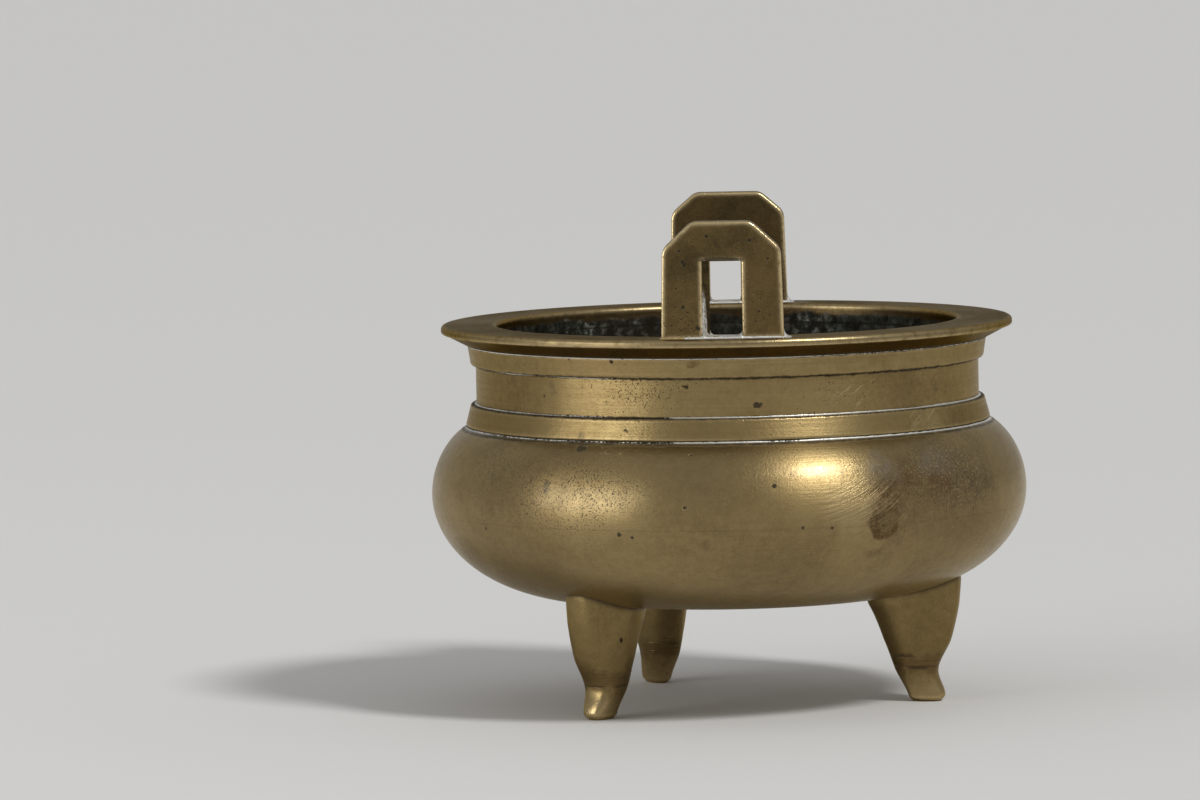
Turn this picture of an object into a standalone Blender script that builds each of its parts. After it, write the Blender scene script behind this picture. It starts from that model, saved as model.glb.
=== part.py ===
"""Tripod incense burner in aged brass, built from its separate pieces.

Metres, +Z up. The origin is on the bowl's axis, on the surface that the feet stand on.
The two loop handles stand on the Y axis, one on each side of the mouth.
"""
import math

import bmesh
import bpy
from mathutils import Matrix, Vector

# Fits
CLEARANCE = 0.0003
SOLDER_GAP = 0.00015
MERGE_DISTANCE = 0.00001
SEGMENTS = 64
ARC_STEPS = 9
ROUND_STEPS = 3

# Heights, stacked from the ground up
LEG_LENGTH = 0.0283
BELLY_LOWER_HEIGHT = 0.0276
BELLY_UPPER_HEIGHT = 0.0177
NECK_HEIGHT = 0.0218
RIM_THICKNESS = 0.0051
HANDLE_HEIGHT = 0.0299

# Belly
BELLY_RADIUS = 0.0781
UNDERSIDE_SWELL = 0.0381
SHOULDER_FULLNESS = 0.863
INNER_SHOULDER_FULLNESS = 0.95
BELLY_WALL = 0.0040
FLOOR_THICKNESS = 0.0036
SHOULDER_THICKNESS = 0.0014
COLLAR_WALL = 0.0020
COLLAR_HEIGHT = 0.0044

# Neck and its two hoops
NECK_RADIUS = 0.0660
NECK_WALL = 0.0046
LOWER_BAND_HEIGHT = 0.0062
LOWER_BAND_FOOT_THICKNESS = 0.0025
LOWER_BAND_TOP_THICKNESS = 0.0013
UPPER_BAND_HEIGHT = 0.0053
UPPER_BAND_THICKNESS = 0.0018
UPPER_BAND_TAPER = 0.0006
BAND_ROUND = 0.0006

# Rim
RIM_OVERHANG = 0.0069
MOUTH_STEP = 0.0010
RIM_LIP_THICKNESS = 0.0022
RIM_EDGE_ROUND = 0.0009
RIM_LIP_UNDERCUT = 0.0006
RIM_ROOT_STEP = 0.0004
SPIGOT_WALL = 0.0025
SPIGOT_DEPTH = 0.0030

# Solder beads in the four corners of the hoops
BEAD_SIZE = 0.0007
SHOULDER_BEAD_REACH = 0.0003

# Loop handles
HANDLE_SETBACK = 0.0080
HANDLE_TOP_WIDTH = 0.0303
HANDLE_BASE_WIDTH = 0.0315
HANDLE_THICKNESS = 0.0060
SLOT_WIDTH = 0.0101
SLOT_HEIGHT = 0.0198
SLOT_DRAFT = 0.0018
NEAR_CHAMFER_WIDTH = 0.0075
NEAR_CHAMFER_HEIGHT = 0.0070
FAR_CHAMFER_WIDTH = 0.0064
FAR_CHAMFER_HEIGHT = 0.0055
HANDLE_EDGE_BEVEL = 0.0005
TENON_DEPTH = 0.0025
TENON_SHOULDER = 0.0012
HANDLE_SOLDER_REACH = 0.0009
HANDLE_SOLDER_HEIGHT = 0.0008

# Legs: azimuths in degrees from the near handle towards +X, and reaches along the radius
# from the foot circle, inwards negative
FOOT_INSET = 0.0263
FRONT_LEFT_LEG_AZIMUTH = -40.7
RIGHT_LEG_AZIMUTH = 80.8
BACK_LEFT_LEG_AZIMUTH = 203.8
SOLE_LENGTH = 0.0082
SOLE_WIDTH = 0.0066
SOLE_ROUND = 0.0012
TOE_REACH = 0.0046
ANKLE_HEIGHT = 0.0070
ANKLE_INNER_REACH = -0.0074
ANKLE_OUTER_REACH = 0.0025
ANKLE_WIDTH = 0.0104
CALF_HEIGHT = 0.0160
CALF_INNER_REACH = -0.0112
CALF_OUTER_REACH = 0.0064
CALF_WIDTH = 0.0132
KNEE_HEIGHT = 0.0255
KNEE_INNER_REACH = -0.0152
KNEE_OUTER_REACH = 0.0087
KNEE_WIDTH = 0.0143
LEG_RINGS_PER_STATION = 3
LEG_SIDES = 20

# Leg rivets
RIVET_INSET = 0.0033
RIVET_RADIUS = 0.0016
RIVET_REACH = 0.0085
RIVET_HEAD_RADIUS = 0.0032
RIVET_HEAD_HEIGHT = 0.0015
RIVET_SIDES = 20

# Levels that follow from the heights
BELLY_MIDDLE = LEG_LENGTH + BELLY_LOWER_HEIGHT
SHOULDER_LEVEL = BELLY_MIDDLE + BELLY_UPPER_HEIGHT
RIM_UNDERSIDE = SHOULDER_LEVEL + NECK_HEIGHT
RIM_TOP = RIM_UNDERSIDE + RIM_THICKNESS
LOWER_BAND_TOP = SHOULDER_LEVEL + LOWER_BAND_HEIGHT
UPPER_BAND_BOTTOM = RIM_UNDERSIDE - UPPER_BAND_HEIGHT

# Radii of the neck, and of what fits in it, round it and on it
NECK_BORE = NECK_RADIUS - NECK_WALL
COLLAR_RADIUS = NECK_BORE + COLLAR_WALL
MOUTH_RADIUS = NECK_BORE - MOUTH_STEP
SPIGOT_RADIUS = MOUTH_RADIUS + SPIGOT_WALL
HOOP_BORE = NECK_RADIUS + CLEARANCE
LOWER_BAND_RADIUS = HOOP_BORE + LOWER_BAND_FOOT_THICKNESS
SHOULDER_RADIUS = LOWER_BAND_RADIUS + SOLDER_GAP + SHOULDER_BEAD_REACH
UPPER_BAND_RADIUS = HOOP_BORE + UPPER_BAND_THICKNESS
RIM_RADIUS = UPPER_BAND_RADIUS + RIM_OVERHANG
HANDLE_CIRCLE_RADIUS = RIM_RADIUS - HANDLE_SETBACK

# Radii of what goes with the belly
FLOOR_RADIUS = BELLY_RADIUS - UNDERSIDE_SWELL
FOOT_CIRCLE_RADIUS = BELLY_RADIUS - FOOT_INSET
RIVET_CIRCLE_RADIUS = FOOT_CIRCLE_RADIUS - RIVET_INSET

LEG_AZIMUTHS = {
    "front_left_leg": FRONT_LEFT_LEG_AZIMUTH,
    "right_leg": RIGHT_LEG_AZIMUTH,
    "back_left_leg": BACK_LEFT_LEG_AZIMUTH,
}

# Finishes
BRASS = (0.36, 0.25, 0.10)
WORN_BRASS = (0.42, 0.30, 0.13)
SOLDER_GREY = (0.62, 0.62, 0.58)
BODY_ROUGHNESS = 0.34
BAND_ROUGHNESS = 0.36
HANDLE_ROUGHNESS = 0.38
RIVET_ROUGHNESS = 0.45
SOLDER_ROUGHNESS = 0.5
SHARP_EDGE_ANGLE = math.radians(40.0)
FILED_EDGE_ANGLE = math.radians(30.0)


def clear_scene():
    for item in list(bpy.data.objects):
        bpy.data.objects.remove(item, do_unlink=True)


def new_collection(name):
    group = bpy.data.collections.new(name)
    bpy.context.scene.collection.children.link(group)
    return group


def metal(name, colour, roughness):
    finish = bpy.data.materials.new(name)
    finish.use_nodes = True
    shader = finish.node_tree.nodes["Principled BSDF"]
    shader.inputs["Base Color"].default_value = (*colour, 1.0)
    shader.inputs["Metallic"].default_value = 1.0
    shader.inputs["Roughness"].default_value = roughness
    return finish


def place(name, mesh, group, colour, roughness):
    """A named sub-part with its own finish."""
    piece = bpy.data.objects.new(name, mesh)
    piece.data.materials.append(metal(name + "_finish", colour, roughness))
    group.objects.link(piece)
    return piece


def cutter(name, mesh, group):
    tool = bpy.data.objects.new(name, mesh)
    tool.hide_render = True
    tool.display_type = "WIRE"
    group.objects.link(tool)
    return tool


def cut(piece, tool):
    step = piece.modifiers.new("cut_" + tool.name, "BOOLEAN")
    step.operation = "DIFFERENCE"
    step.solver = "EXACT"
    step.object = tool


def profile_mesh(name, points, closed):
    """An outline of (radius, height) points in the XZ plane."""
    mesh = bpy.data.meshes.new(name)
    corners = [(radius, 0.0, height) for radius, height in points]
    edges = [(i, i + 1) for i in range(len(corners) - 1)]
    if closed:
        edges.append((len(corners) - 1, 0))
    mesh.from_pydata(corners, edges, [])
    return mesh


def turn(piece):
    """Turns the piece's outline about the vertical axis."""
    lathe = piece.modifiers.new("turned", "SCREW")
    lathe.axis = "Z"
    lathe.angle = math.tau
    lathe.steps = SEGMENTS
    lathe.render_steps = SEGMENTS
    lathe.use_merge_vertices = True
    lathe.merge_threshold = MERGE_DISTANCE
    lathe.use_smooth_shade = True


def arc(centre, half_width, half_height, start, stop, steps=ARC_STEPS):
    """Points on an ellipse, with the angles in degrees counted from the outward direction."""
    points = []
    for i in range(steps + 1):
        angle = math.radians(start + (stop - start) * i / steps)
        radius = centre[0] + half_width * math.cos(angle)
        points.append((radius, centre[1] + half_height * math.sin(angle)))
    return points


def corner_round(centre, size, start):
    """A quarter round that turns clockwise from the start angle."""
    return arc(centre, size, size, start, start - 90.0, ROUND_STEPS)


def shoulder_curve(wide, narrow, bottom, top, fullness):
    """From the widest point up to the shoulder, upright at the bottom, listed from the top down."""
    drop = 1.0 - math.sqrt(1.0 - fullness ** 2)
    points = []
    for i in range(ARC_STEPS + 1):
        share = 1.0 - i / ARC_STEPS
        inset = (1.0 - math.sqrt(1.0 - (fullness * share) ** 2)) / drop
        points.append((wide - (wide - narrow) * inset, bottom + (top - bottom) * share))
    return points


def belly_underside(grow=0.0):
    """The outer curve from the widest point down to the flat floor, grown outwards by a clearance."""
    centre = (FLOOR_RADIUS, BELLY_MIDDLE)
    return arc(centre, BELLY_RADIUS - FLOOR_RADIUS + grow, BELLY_LOWER_HEIGHT + grow, 0.0, -90.0)


def belly_outline():
    floor_top = LEG_LENGTH + FLOOR_THICKNESS
    collar_top = SHOULDER_LEVEL + COLLAR_HEIGHT
    inner_wide = BELLY_RADIUS - BELLY_WALL
    inner_lower = arc((FLOOR_RADIUS, BELLY_MIDDLE), inner_wide - FLOOR_RADIUS,
                      BELLY_MIDDLE - floor_top, -90.0, 0.0)
    inner_upper = shoulder_curve(inner_wide, NECK_BORE, BELLY_MIDDLE,
                                 SHOULDER_LEVEL - SHOULDER_THICKNESS, INNER_SHOULDER_FULLNESS)
    points = [(0.0, floor_top)]
    points += inner_lower
    points += list(reversed(inner_upper))[1:]
    points += [(NECK_BORE, collar_top), (COLLAR_RADIUS, collar_top), (COLLAR_RADIUS, SHOULDER_LEVEL)]
    points += shoulder_curve(BELLY_RADIUS, SHOULDER_RADIUS, BELLY_MIDDLE, SHOULDER_LEVEL, SHOULDER_FULLNESS)
    points += belly_underside()[1:]
    points.append((0.0, LEG_LENGTH))
    return points


def neck_outline():
    top = RIM_UNDERSIDE - CLEARANCE
    bottom = SHOULDER_LEVEL + CLEARANCE
    upper_step = RIM_UNDERSIDE - SPIGOT_DEPTH - CLEARANCE
    lower_step = SHOULDER_LEVEL + COLLAR_HEIGHT + CLEARANCE
    return [(SPIGOT_RADIUS + CLEARANCE, top), (NECK_RADIUS, top), (NECK_RADIUS, bottom),
            (COLLAR_RADIUS + CLEARANCE, bottom), (COLLAR_RADIUS + CLEARANCE, lower_step),
            (NECK_BORE, lower_step), (NECK_BORE, upper_step), (SPIGOT_RADIUS + CLEARANCE, upper_step)]


def lower_band_outline():
    foot = SHOULDER_LEVEL + CLEARANCE
    top_radius = HOOP_BORE + LOWER_BAND_TOP_THICKNESS
    points = [(HOOP_BORE, LOWER_BAND_TOP)]
    points += corner_round((top_radius - BAND_ROUND, LOWER_BAND_TOP - BAND_ROUND), BAND_ROUND, 90.0)
    points += corner_round((LOWER_BAND_RADIUS - BAND_ROUND, foot + BAND_ROUND), BAND_ROUND, 0.0)
    points.append((HOOP_BORE, foot))
    return points


def upper_band_outline():
    top = RIM_UNDERSIDE - CLEARANCE
    foot_radius = UPPER_BAND_RADIUS - UPPER_BAND_TAPER
    round_off = 2.0 * BAND_ROUND
    points = [(HOOP_BORE, top), (UPPER_BAND_RADIUS, top)]
    points += arc((foot_radius - BAND_ROUND, UPPER_BAND_BOTTOM + round_off), BAND_ROUND, round_off,
                  0.0, -90.0, ROUND_STEPS)
    points.append((HOOP_BORE, UPPER_BAND_BOTTOM))
    return points


def rim_outline():
    edge = min(RIM_EDGE_ROUND, RIM_LIP_THICKNESS / 2.0)
    root = UPPER_BAND_RADIUS + RIM_ROOT_STEP
    points = corner_round((MOUTH_RADIUS + edge, RIM_TOP - edge), edge, 180.0)
    points += corner_round((RIM_RADIUS - edge, RIM_TOP - edge), edge, 90.0)
    points += [(RIM_RADIUS - RIM_LIP_UNDERCUT, RIM_TOP - RIM_LIP_THICKNESS), (root, RIM_UNDERSIDE),
               (SPIGOT_RADIUS, RIM_UNDERSIDE), (SPIGOT_RADIUS, RIM_UNDERSIDE - SPIGOT_DEPTH),
               (MOUTH_RADIUS, RIM_UNDERSIDE - SPIGOT_DEPTH)]
    return points


def bead_outline(corner, outward, upward):
    """A three-cornered bead in the angle between a wall and a ledge.

    The corner is the inside of that angle. The bead runs outward along the ledge and
    along the wall in the direction of upward, which is 1 or -1.
    """
    radius, level = corner
    radius += SOLDER_GAP
    level += upward * SOLDER_GAP
    tip = (radius + outward, level)
    heel = (radius, level + upward * BEAD_SIZE)
    inside = (radius, level)
    if upward > 0:
        return [heel, tip, inside]
    return [inside, tip, heel]


def bead_corners():
    """Name, inside corner, reach along the ledge and direction along the wall of each solder bead."""
    lower_top_ledge = LOWER_BAND_TOP_THICKNESS + CLEARANCE - BAND_ROUND - SOLDER_GAP
    upper_foot_ledge = UPPER_BAND_THICKNESS + CLEARANCE - UPPER_BAND_TAPER - BAND_ROUND - SOLDER_GAP
    return (
        ("rim_solder_bead", (UPPER_BAND_RADIUS, RIM_UNDERSIDE), RIM_ROOT_STEP, -1),
        ("upper_band_solder_bead", (NECK_RADIUS, UPPER_BAND_BOTTOM), upper_foot_ledge, -1),
        ("lower_band_solder_bead", (NECK_RADIUS, LOWER_BAND_TOP), lower_top_ledge, 1),
        ("shoulder_solder_bead", (LOWER_BAND_RADIUS, SHOULDER_LEVEL), SHOULDER_BEAD_REACH, 1),
    )


def box_mesh(name, low, high):
    mesh = bpy.data.meshes.new(name)
    shape = bmesh.new()
    bmesh.ops.create_cube(shape, size=1.0)
    size = Vector(high) - Vector(low)
    middle = (Vector(high) + Vector(low)) / 2.0
    bmesh.ops.scale(shape, vec=size, verts=shape.verts)
    bmesh.ops.translate(shape, vec=middle, verts=shape.verts)
    shape.to_mesh(mesh)
    shape.free()
    return mesh


def plate_mesh(name, outlines, thickness):
    """A flat plate in the XZ plane from closed outlines; an outline inside another is a hole."""
    curve = bpy.data.curves.new(name, "CURVE")
    curve.dimensions = "2D"
    curve.fill_mode = "BOTH"
    curve.extrude = thickness / 2.0
    for outline in outlines:
        line = curve.splines.new("POLY")
        line.points.add(len(outline) - 1)
        for point, (across, along) in zip(line.points, outline):
            point.co = (across, along, 0.0, 1.0)
        line.use_cyclic_u = True
    holder = bpy.data.objects.new(name, curve)
    bpy.context.scene.collection.objects.link(holder)
    bpy.context.view_layer.update()
    evaluated = holder.evaluated_get(bpy.context.evaluated_depsgraph_get())
    mesh = bpy.data.meshes.new_from_object(evaluated)
    mesh.name = name
    bpy.data.objects.remove(holder, do_unlink=True)
    shape = bmesh.new()
    shape.from_mesh(mesh)
    bmesh.ops.remove_doubles(shape, verts=shape.verts, dist=MERGE_DISTANCE)
    shape.to_mesh(mesh)
    shape.free()
    return mesh


def tenon_edges():
    """Inner and outer distance of each tenon from the handle's middle."""
    return SLOT_WIDTH / 2.0 + TENON_SHOULDER, HANDLE_BASE_WIDTH / 2.0 - TENON_SHOULDER


def handle_half(chamfer_width, chamfer_height):
    """The right half of a handle's outline, from the slot's top down, round the foot and up to the top."""
    foot = RIM_TOP + CLEARANCE
    tip = RIM_TOP - TENON_DEPTH
    top = RIM_TOP + HANDLE_HEIGHT
    inner, outer = tenon_edges()
    return [(SLOT_WIDTH / 2.0, RIM_TOP + SLOT_HEIGHT), (SLOT_WIDTH / 2.0, foot), (inner, foot),
            (inner, tip), (outer, tip), (outer, foot), (HANDLE_BASE_WIDTH / 2.0, foot),
            (HANDLE_TOP_WIDTH / 2.0, top - chamfer_height),
            (HANDLE_TOP_WIDTH / 2.0 - chamfer_width, top)]


def slant_slot(mesh):
    """Leans the slot's left wall, so that the slot is narrower towards the bowl."""
    for corner in mesh.vertices:
        on_left_wall = abs(corner.co.x + SLOT_WIDTH / 2.0) < CLEARANCE
        if on_left_wall and corner.co.z < 0.0:
            corner.co.x += SLOT_DRAFT


def stand_on_rim(piece, half_turn, upright):
    """Puts a piece made at the handle's middle on the near side of the rim, or half a turn round from it."""
    piece.location = (0.0, (1.0 if half_turn else -1.0) * HANDLE_CIRCLE_RADIUS, piece.location.z)
    piece.rotation_euler = (math.pi / 2.0 if upright else 0.0, 0.0, math.pi if half_turn else 0.0)


def add_handle(name, half_turn, chamfer, parts):
    """A loop handle with its tenons."""
    right = handle_half(*chamfer)
    left = [(-across, along) for across, along in reversed(right)]
    mesh = plate_mesh(name, [right + left], HANDLE_THICKNESS)
    slant_slot(mesh)
    piece = place(name, mesh, parts, WORN_BRASS, HANDLE_ROUGHNESS)
    stand_on_rim(piece, half_turn, True)
    soften = piece.modifiers.new("filed_edges", "BEVEL")
    soften.width = HANDLE_EDGE_BEVEL
    soften.segments = 1
    soften.limit_method = "ANGLE"
    soften.angle_limit = FILED_EDGE_ANGLE


def cut_mortises(rim, tools):
    inner, outer = tenon_edges()
    half = HANDLE_THICKNESS / 2.0 + CLEARANCE
    for handle_side in (-1, 1):
        for post_side in (-1, 1):
            ends = sorted((post_side * (inner - CLEARANCE), post_side * (outer + CLEARANCE)))
            middle = handle_side * HANDLE_CIRCLE_RADIUS
            low = (ends[0], middle - half, RIM_TOP - TENON_DEPTH - CLEARANCE)
            high = (ends[1], middle + half, RIM_TOP + TENON_DEPTH)
            label = "mortise_%d_%d" % (handle_side + 1, post_side + 1)
            cut(rim, cutter(label, box_mesh(label, low, high), tools))


def rectangle(low_across, high_across, half):
    return [(low_across, -half), (high_across, -half), (high_across, half), (low_across, half)]


def add_handle_solder(name, half_turn, parts):
    """The collar of solder round both feet of a handle, which also makes the slot's sill."""
    foot = HANDLE_BASE_WIDTH / 2.0
    hole_inner = SLOT_WIDTH / 2.0 - SOLDER_GAP
    hole_outer = foot + SOLDER_GAP
    hole_half = HANDLE_THICKNESS / 2.0 + SOLDER_GAP
    outer = rectangle(-foot - HANDLE_SOLDER_REACH, foot + HANDLE_SOLDER_REACH,
                      HANDLE_THICKNESS / 2.0 + HANDLE_SOLDER_REACH)
    right_hole = rectangle(hole_inner, hole_outer, hole_half)
    left_hole = [(-hole_outer, -hole_half), (-hole_inner, -hole_half),
                 (SLOT_DRAFT - hole_inner + SOLDER_GAP, hole_half), (-hole_outer, hole_half)]
    mesh = plate_mesh(name, [outer, right_hole, left_hole], HANDLE_SOLDER_HEIGHT)
    piece = place(name, mesh, parts, SOLDER_GREY, SOLDER_ROUGHNESS)
    piece.location.z = RIM_TOP + SOLDER_GAP + HANDLE_SOLDER_HEIGHT / 2.0
    stand_on_rim(piece, half_turn, False)


def leg_stations():
    """Height, inner reach, outer reach and width of the leg's main sections, from the sole up."""
    above = LEG_LENGTH + BELLY_LOWER_HEIGHT / 2.0
    rise = (above - KNEE_HEIGHT) / (KNEE_HEIGHT - CALF_HEIGHT)
    lean = (KNEE_INNER_REACH - CALF_INNER_REACH) * rise
    sole_inner = TOE_REACH - SOLE_ROUND / 2.0 - SOLE_LENGTH
    return [(0.0, sole_inner, TOE_REACH - SOLE_ROUND / 2.0, SOLE_WIDTH),
            (SOLE_ROUND, sole_inner - SOLE_ROUND / 4.0, TOE_REACH, SOLE_WIDTH + SOLE_ROUND),
            (ANKLE_HEIGHT, ANKLE_INNER_REACH, ANKLE_OUTER_REACH, ANKLE_WIDTH),
            (CALF_HEIGHT, CALF_INNER_REACH, CALF_OUTER_REACH, CALF_WIDTH),
            (KNEE_HEIGHT, KNEE_INNER_REACH, KNEE_OUTER_REACH, KNEE_WIDTH),
            (above, KNEE_INNER_REACH + lean, KNEE_OUTER_REACH + SOLE_ROUND, KNEE_WIDTH)]


def smooth_between(before, start, stop, after, share):
    """A value on a smooth curve through start and stop, which leaves and arrives along its neighbours."""
    leave = (stop - before) / 2.0
    arrive = (after - start) / 2.0
    cube = share ** 3
    square = share ** 2
    return ((2 * cube - 3 * square + 1) * start + (cube - 2 * square + share) * leave
            + (3 * square - 2 * cube) * stop + (cube - square) * arrive)


def leg_sections():
    stations = leg_stations()
    sections = [stations[0]]
    for i in range(1, len(stations) - 1):
        before, start, stop = stations[i - 1], stations[i], stations[i + 1]
        after = stations[min(i + 2, len(stations) - 1)]
        steps = LEG_RINGS_PER_STATION
        for k in range(steps):
            share = k / steps
            height = start[0] + (stop[0] - start[0]) * share
            rest = [smooth_between(before[n], start[n], stop[n], after[n], share) for n in (1, 2, 3)]
            sections.append((height, *rest))
    sections.append(stations[-1])
    return sections


def leg_mesh(name):
    """A loft of oval sections, standing at +X, before its top is cut to the belly."""
    mesh = bpy.data.meshes.new(name)
    shape = bmesh.new()
    rings = []
    for height, inner, outer, width in leg_sections():
        middle = FOOT_CIRCLE_RADIUS + (inner + outer) / 2.0
        ring = []
        for k in range(LEG_SIDES):
            turn_angle = math.tau * k / LEG_SIDES
            along = middle + (outer - inner) / 2.0 * math.cos(turn_angle)
            ring.append(shape.verts.new((along, width / 2.0 * math.sin(turn_angle), height)))
        rings.append(ring)
    for low, high in zip(rings, rings[1:]):
        for k in range(LEG_SIDES):
            n = (k + 1) % LEG_SIDES
            shape.faces.new((low[k], low[n], high[n], high[k]))
    shape.faces.new(list(reversed(rings[0])))
    shape.faces.new(rings[-1])
    shape.to_mesh(mesh)
    shape.free()
    mesh.shade_smooth()
    mesh.set_sharp_from_angle(angle=SHARP_EDGE_ANGLE)
    return mesh


def rivet_frame():
    """Where the rivet's line crosses the belly's outside, and how far it leans outwards going down."""
    half_width = BELLY_RADIUS - FLOOR_RADIUS
    across = (RIVET_CIRCLE_RADIUS - FLOOR_RADIUS) / half_width
    down = math.sqrt(1.0 - across ** 2)
    lean = math.atan2(across / half_width, down / BELLY_LOWER_HEIGHT)
    return BELLY_MIDDLE - BELLY_LOWER_HEIGHT * down, lean


def rivet_place(azimuth):
    """The rivet's own frame, with its shank running down from the belly's outside."""
    level, lean = rivet_frame()
    tilt = Matrix.Rotation(-lean, 4, "Y")
    move = Matrix.Translation((RIVET_CIRCLE_RADIUS, 0.0, level))
    return Matrix.Rotation(azimuth, 4, "Z") @ move @ tilt


def rivet_seat():
    """Height of the bowl's inside above its outside, along the rivet's line."""
    outer_level, lean = rivet_frame()
    half_width = BELLY_RADIUS - BELLY_WALL - FLOOR_RADIUS
    half_height = BELLY_LOWER_HEIGHT - FLOOR_THICKNESS
    across = (RIVET_CIRCLE_RADIUS - FLOOR_RADIUS) / half_width
    inner_level = BELLY_MIDDLE - half_height * math.sqrt(1.0 - across ** 2)
    return (inner_level - outer_level) / math.cos(lean)


def rivet_outline():
    seat = rivet_seat() + CLEARANCE
    rise = arc((0.0, seat + RIVET_HEAD_HEIGHT / 3.0), RIVET_HEAD_RADIUS, RIVET_HEAD_HEIGHT * 2.0 / 3.0,
               90.0, 0.0, ROUND_STEPS)
    points = [(0.0, rise[0][1])]
    points += rise[1:]
    points += [(RIVET_HEAD_RADIUS, seat), (RIVET_RADIUS, seat)]
    points += [(RIVET_RADIUS, -RIVET_REACH), (0.0, -RIVET_REACH)]
    return points


def rivet_hole_outline():
    top = rivet_seat() + RIVET_HEAD_HEIGHT
    radius = RIVET_RADIUS + CLEARANCE
    bottom = -RIVET_REACH - CLEARANCE
    return [(0.0, top), (radius, top), (radius, bottom), (0.0, bottom)]


def belly_cutter_outline():
    """The room that the belly takes out of a leg's top."""
    points = [(0.0, BELLY_MIDDLE + CLEARANCE)]
    points.append((BELLY_RADIUS + CLEARANCE, BELLY_MIDDLE + CLEARANCE))
    points += belly_underside(CLEARANCE)
    points.append((0.0, LEG_LENGTH - CLEARANCE))
    return points


def add_turned(name, outline, closed, parts, colour, roughness):
    piece = place(name, profile_mesh(name, outline, closed), parts, colour, roughness)
    turn(piece)
    return piece


def add_legs(belly, parts, tools):
    room = cutter("belly_room", profile_mesh("belly_room", belly_cutter_outline(), False), tools)
    turn(room)
    for name, from_near_handle in LEG_AZIMUTHS.items():
        azimuth = math.radians(from_near_handle - 90.0)
        hole_name = name + "_rivet_hole"
        hole = cutter(hole_name, profile_mesh(hole_name, rivet_hole_outline(), False), tools)
        turn(hole)
        hole.modifiers["turned"].steps = RIVET_SIDES
        hole.modifiers["turned"].render_steps = RIVET_SIDES
        hole.matrix_world = rivet_place(azimuth)
        leg = place(name, leg_mesh(name), parts, BRASS, BAND_ROUGHNESS)
        leg.rotation_euler = (0.0, 0.0, azimuth)
        cut(leg, room)
        cut(leg, hole)
        cut(belly, hole)
        rivet = add_turned(name + "_rivet", rivet_outline(), False, parts, BRASS, RIVET_ROUGHNESS)
        rivet.modifiers["turned"].steps = RIVET_SIDES
        rivet.modifiers["turned"].render_steps = RIVET_SIDES
        rivet.matrix_world = rivet_place(azimuth)


def main():
    clear_scene()
    parts = new_collection("tripod_incense_burner")
    tools = new_collection("cutters")
    belly = add_turned("belly", belly_outline(), False, parts, BRASS, BODY_ROUGHNESS)
    add_turned("neck", neck_outline(), True, parts, BRASS, BODY_ROUGHNESS)
    add_turned("lower_band", lower_band_outline(), True, parts, BRASS, BAND_ROUGHNESS)
    add_turned("upper_band", upper_band_outline(), True, parts, BRASS, BAND_ROUGHNESS)
    rim = add_turned("rim", rim_outline(), True, parts, WORN_BRASS, BAND_ROUGHNESS)
    for name, corner, outward, upward in bead_corners():
        add_turned(name, bead_outline(corner, outward, upward), True, parts, SOLDER_GREY, SOLDER_ROUGHNESS)
    cut_mortises(rim, tools)
    add_handle("near_handle", False, (NEAR_CHAMFER_WIDTH, NEAR_CHAMFER_HEIGHT), parts)
    add_handle("far_handle", True, (FAR_CHAMFER_WIDTH, FAR_CHAMFER_HEIGHT), parts)
    add_handle_solder("near_handle_solder", False, parts)
    add_handle_solder("far_handle_solder", True, parts)
    add_legs(belly, parts, tools)


main()
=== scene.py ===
import math

import bmesh
import bpy
import numpy as np
from mathutils import Matrix, Vector, noise


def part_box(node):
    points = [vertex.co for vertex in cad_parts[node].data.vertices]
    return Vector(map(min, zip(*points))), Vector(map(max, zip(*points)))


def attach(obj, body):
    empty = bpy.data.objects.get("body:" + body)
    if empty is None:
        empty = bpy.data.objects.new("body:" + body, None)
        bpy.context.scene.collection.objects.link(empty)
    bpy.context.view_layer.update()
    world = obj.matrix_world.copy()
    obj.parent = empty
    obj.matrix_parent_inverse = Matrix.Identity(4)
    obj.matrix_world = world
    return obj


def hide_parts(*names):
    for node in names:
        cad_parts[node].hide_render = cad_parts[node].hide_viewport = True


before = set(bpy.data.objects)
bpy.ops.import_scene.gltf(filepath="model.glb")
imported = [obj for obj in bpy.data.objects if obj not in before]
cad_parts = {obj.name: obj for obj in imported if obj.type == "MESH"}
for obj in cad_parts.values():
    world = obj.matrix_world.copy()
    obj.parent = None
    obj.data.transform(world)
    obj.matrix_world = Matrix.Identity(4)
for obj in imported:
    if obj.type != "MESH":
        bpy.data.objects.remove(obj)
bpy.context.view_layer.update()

# Looks of the tripod incense burner: fine turned, cast and soldered pieces in aged brass.
# Metres, in the part's own frame: the origin is on the bowl's axis, on the ground.

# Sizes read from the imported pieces
FLOOR_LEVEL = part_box("belly")[0].z
COLLAR_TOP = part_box("belly")[1].z
BELLY_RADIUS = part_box("belly")[1].x
NECK_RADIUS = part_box("neck")[1].x
RIM_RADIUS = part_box("rim")[1].x
RIM_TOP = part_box("rim")[1].z
SPIGOT_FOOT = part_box("rim")[0].z
LOWER_BAND_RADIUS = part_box("lower_band")[1].x
LOWER_BAND_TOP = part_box("lower_band")[1].z
UPPER_BAND_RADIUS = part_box("upper_band")[1].x
UPPER_BAND_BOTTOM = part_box("upper_band")[0].z
HANDLE_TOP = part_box("near_handle")[1].z
HANDLE_HALF_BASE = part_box("near_handle")[1].x

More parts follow.
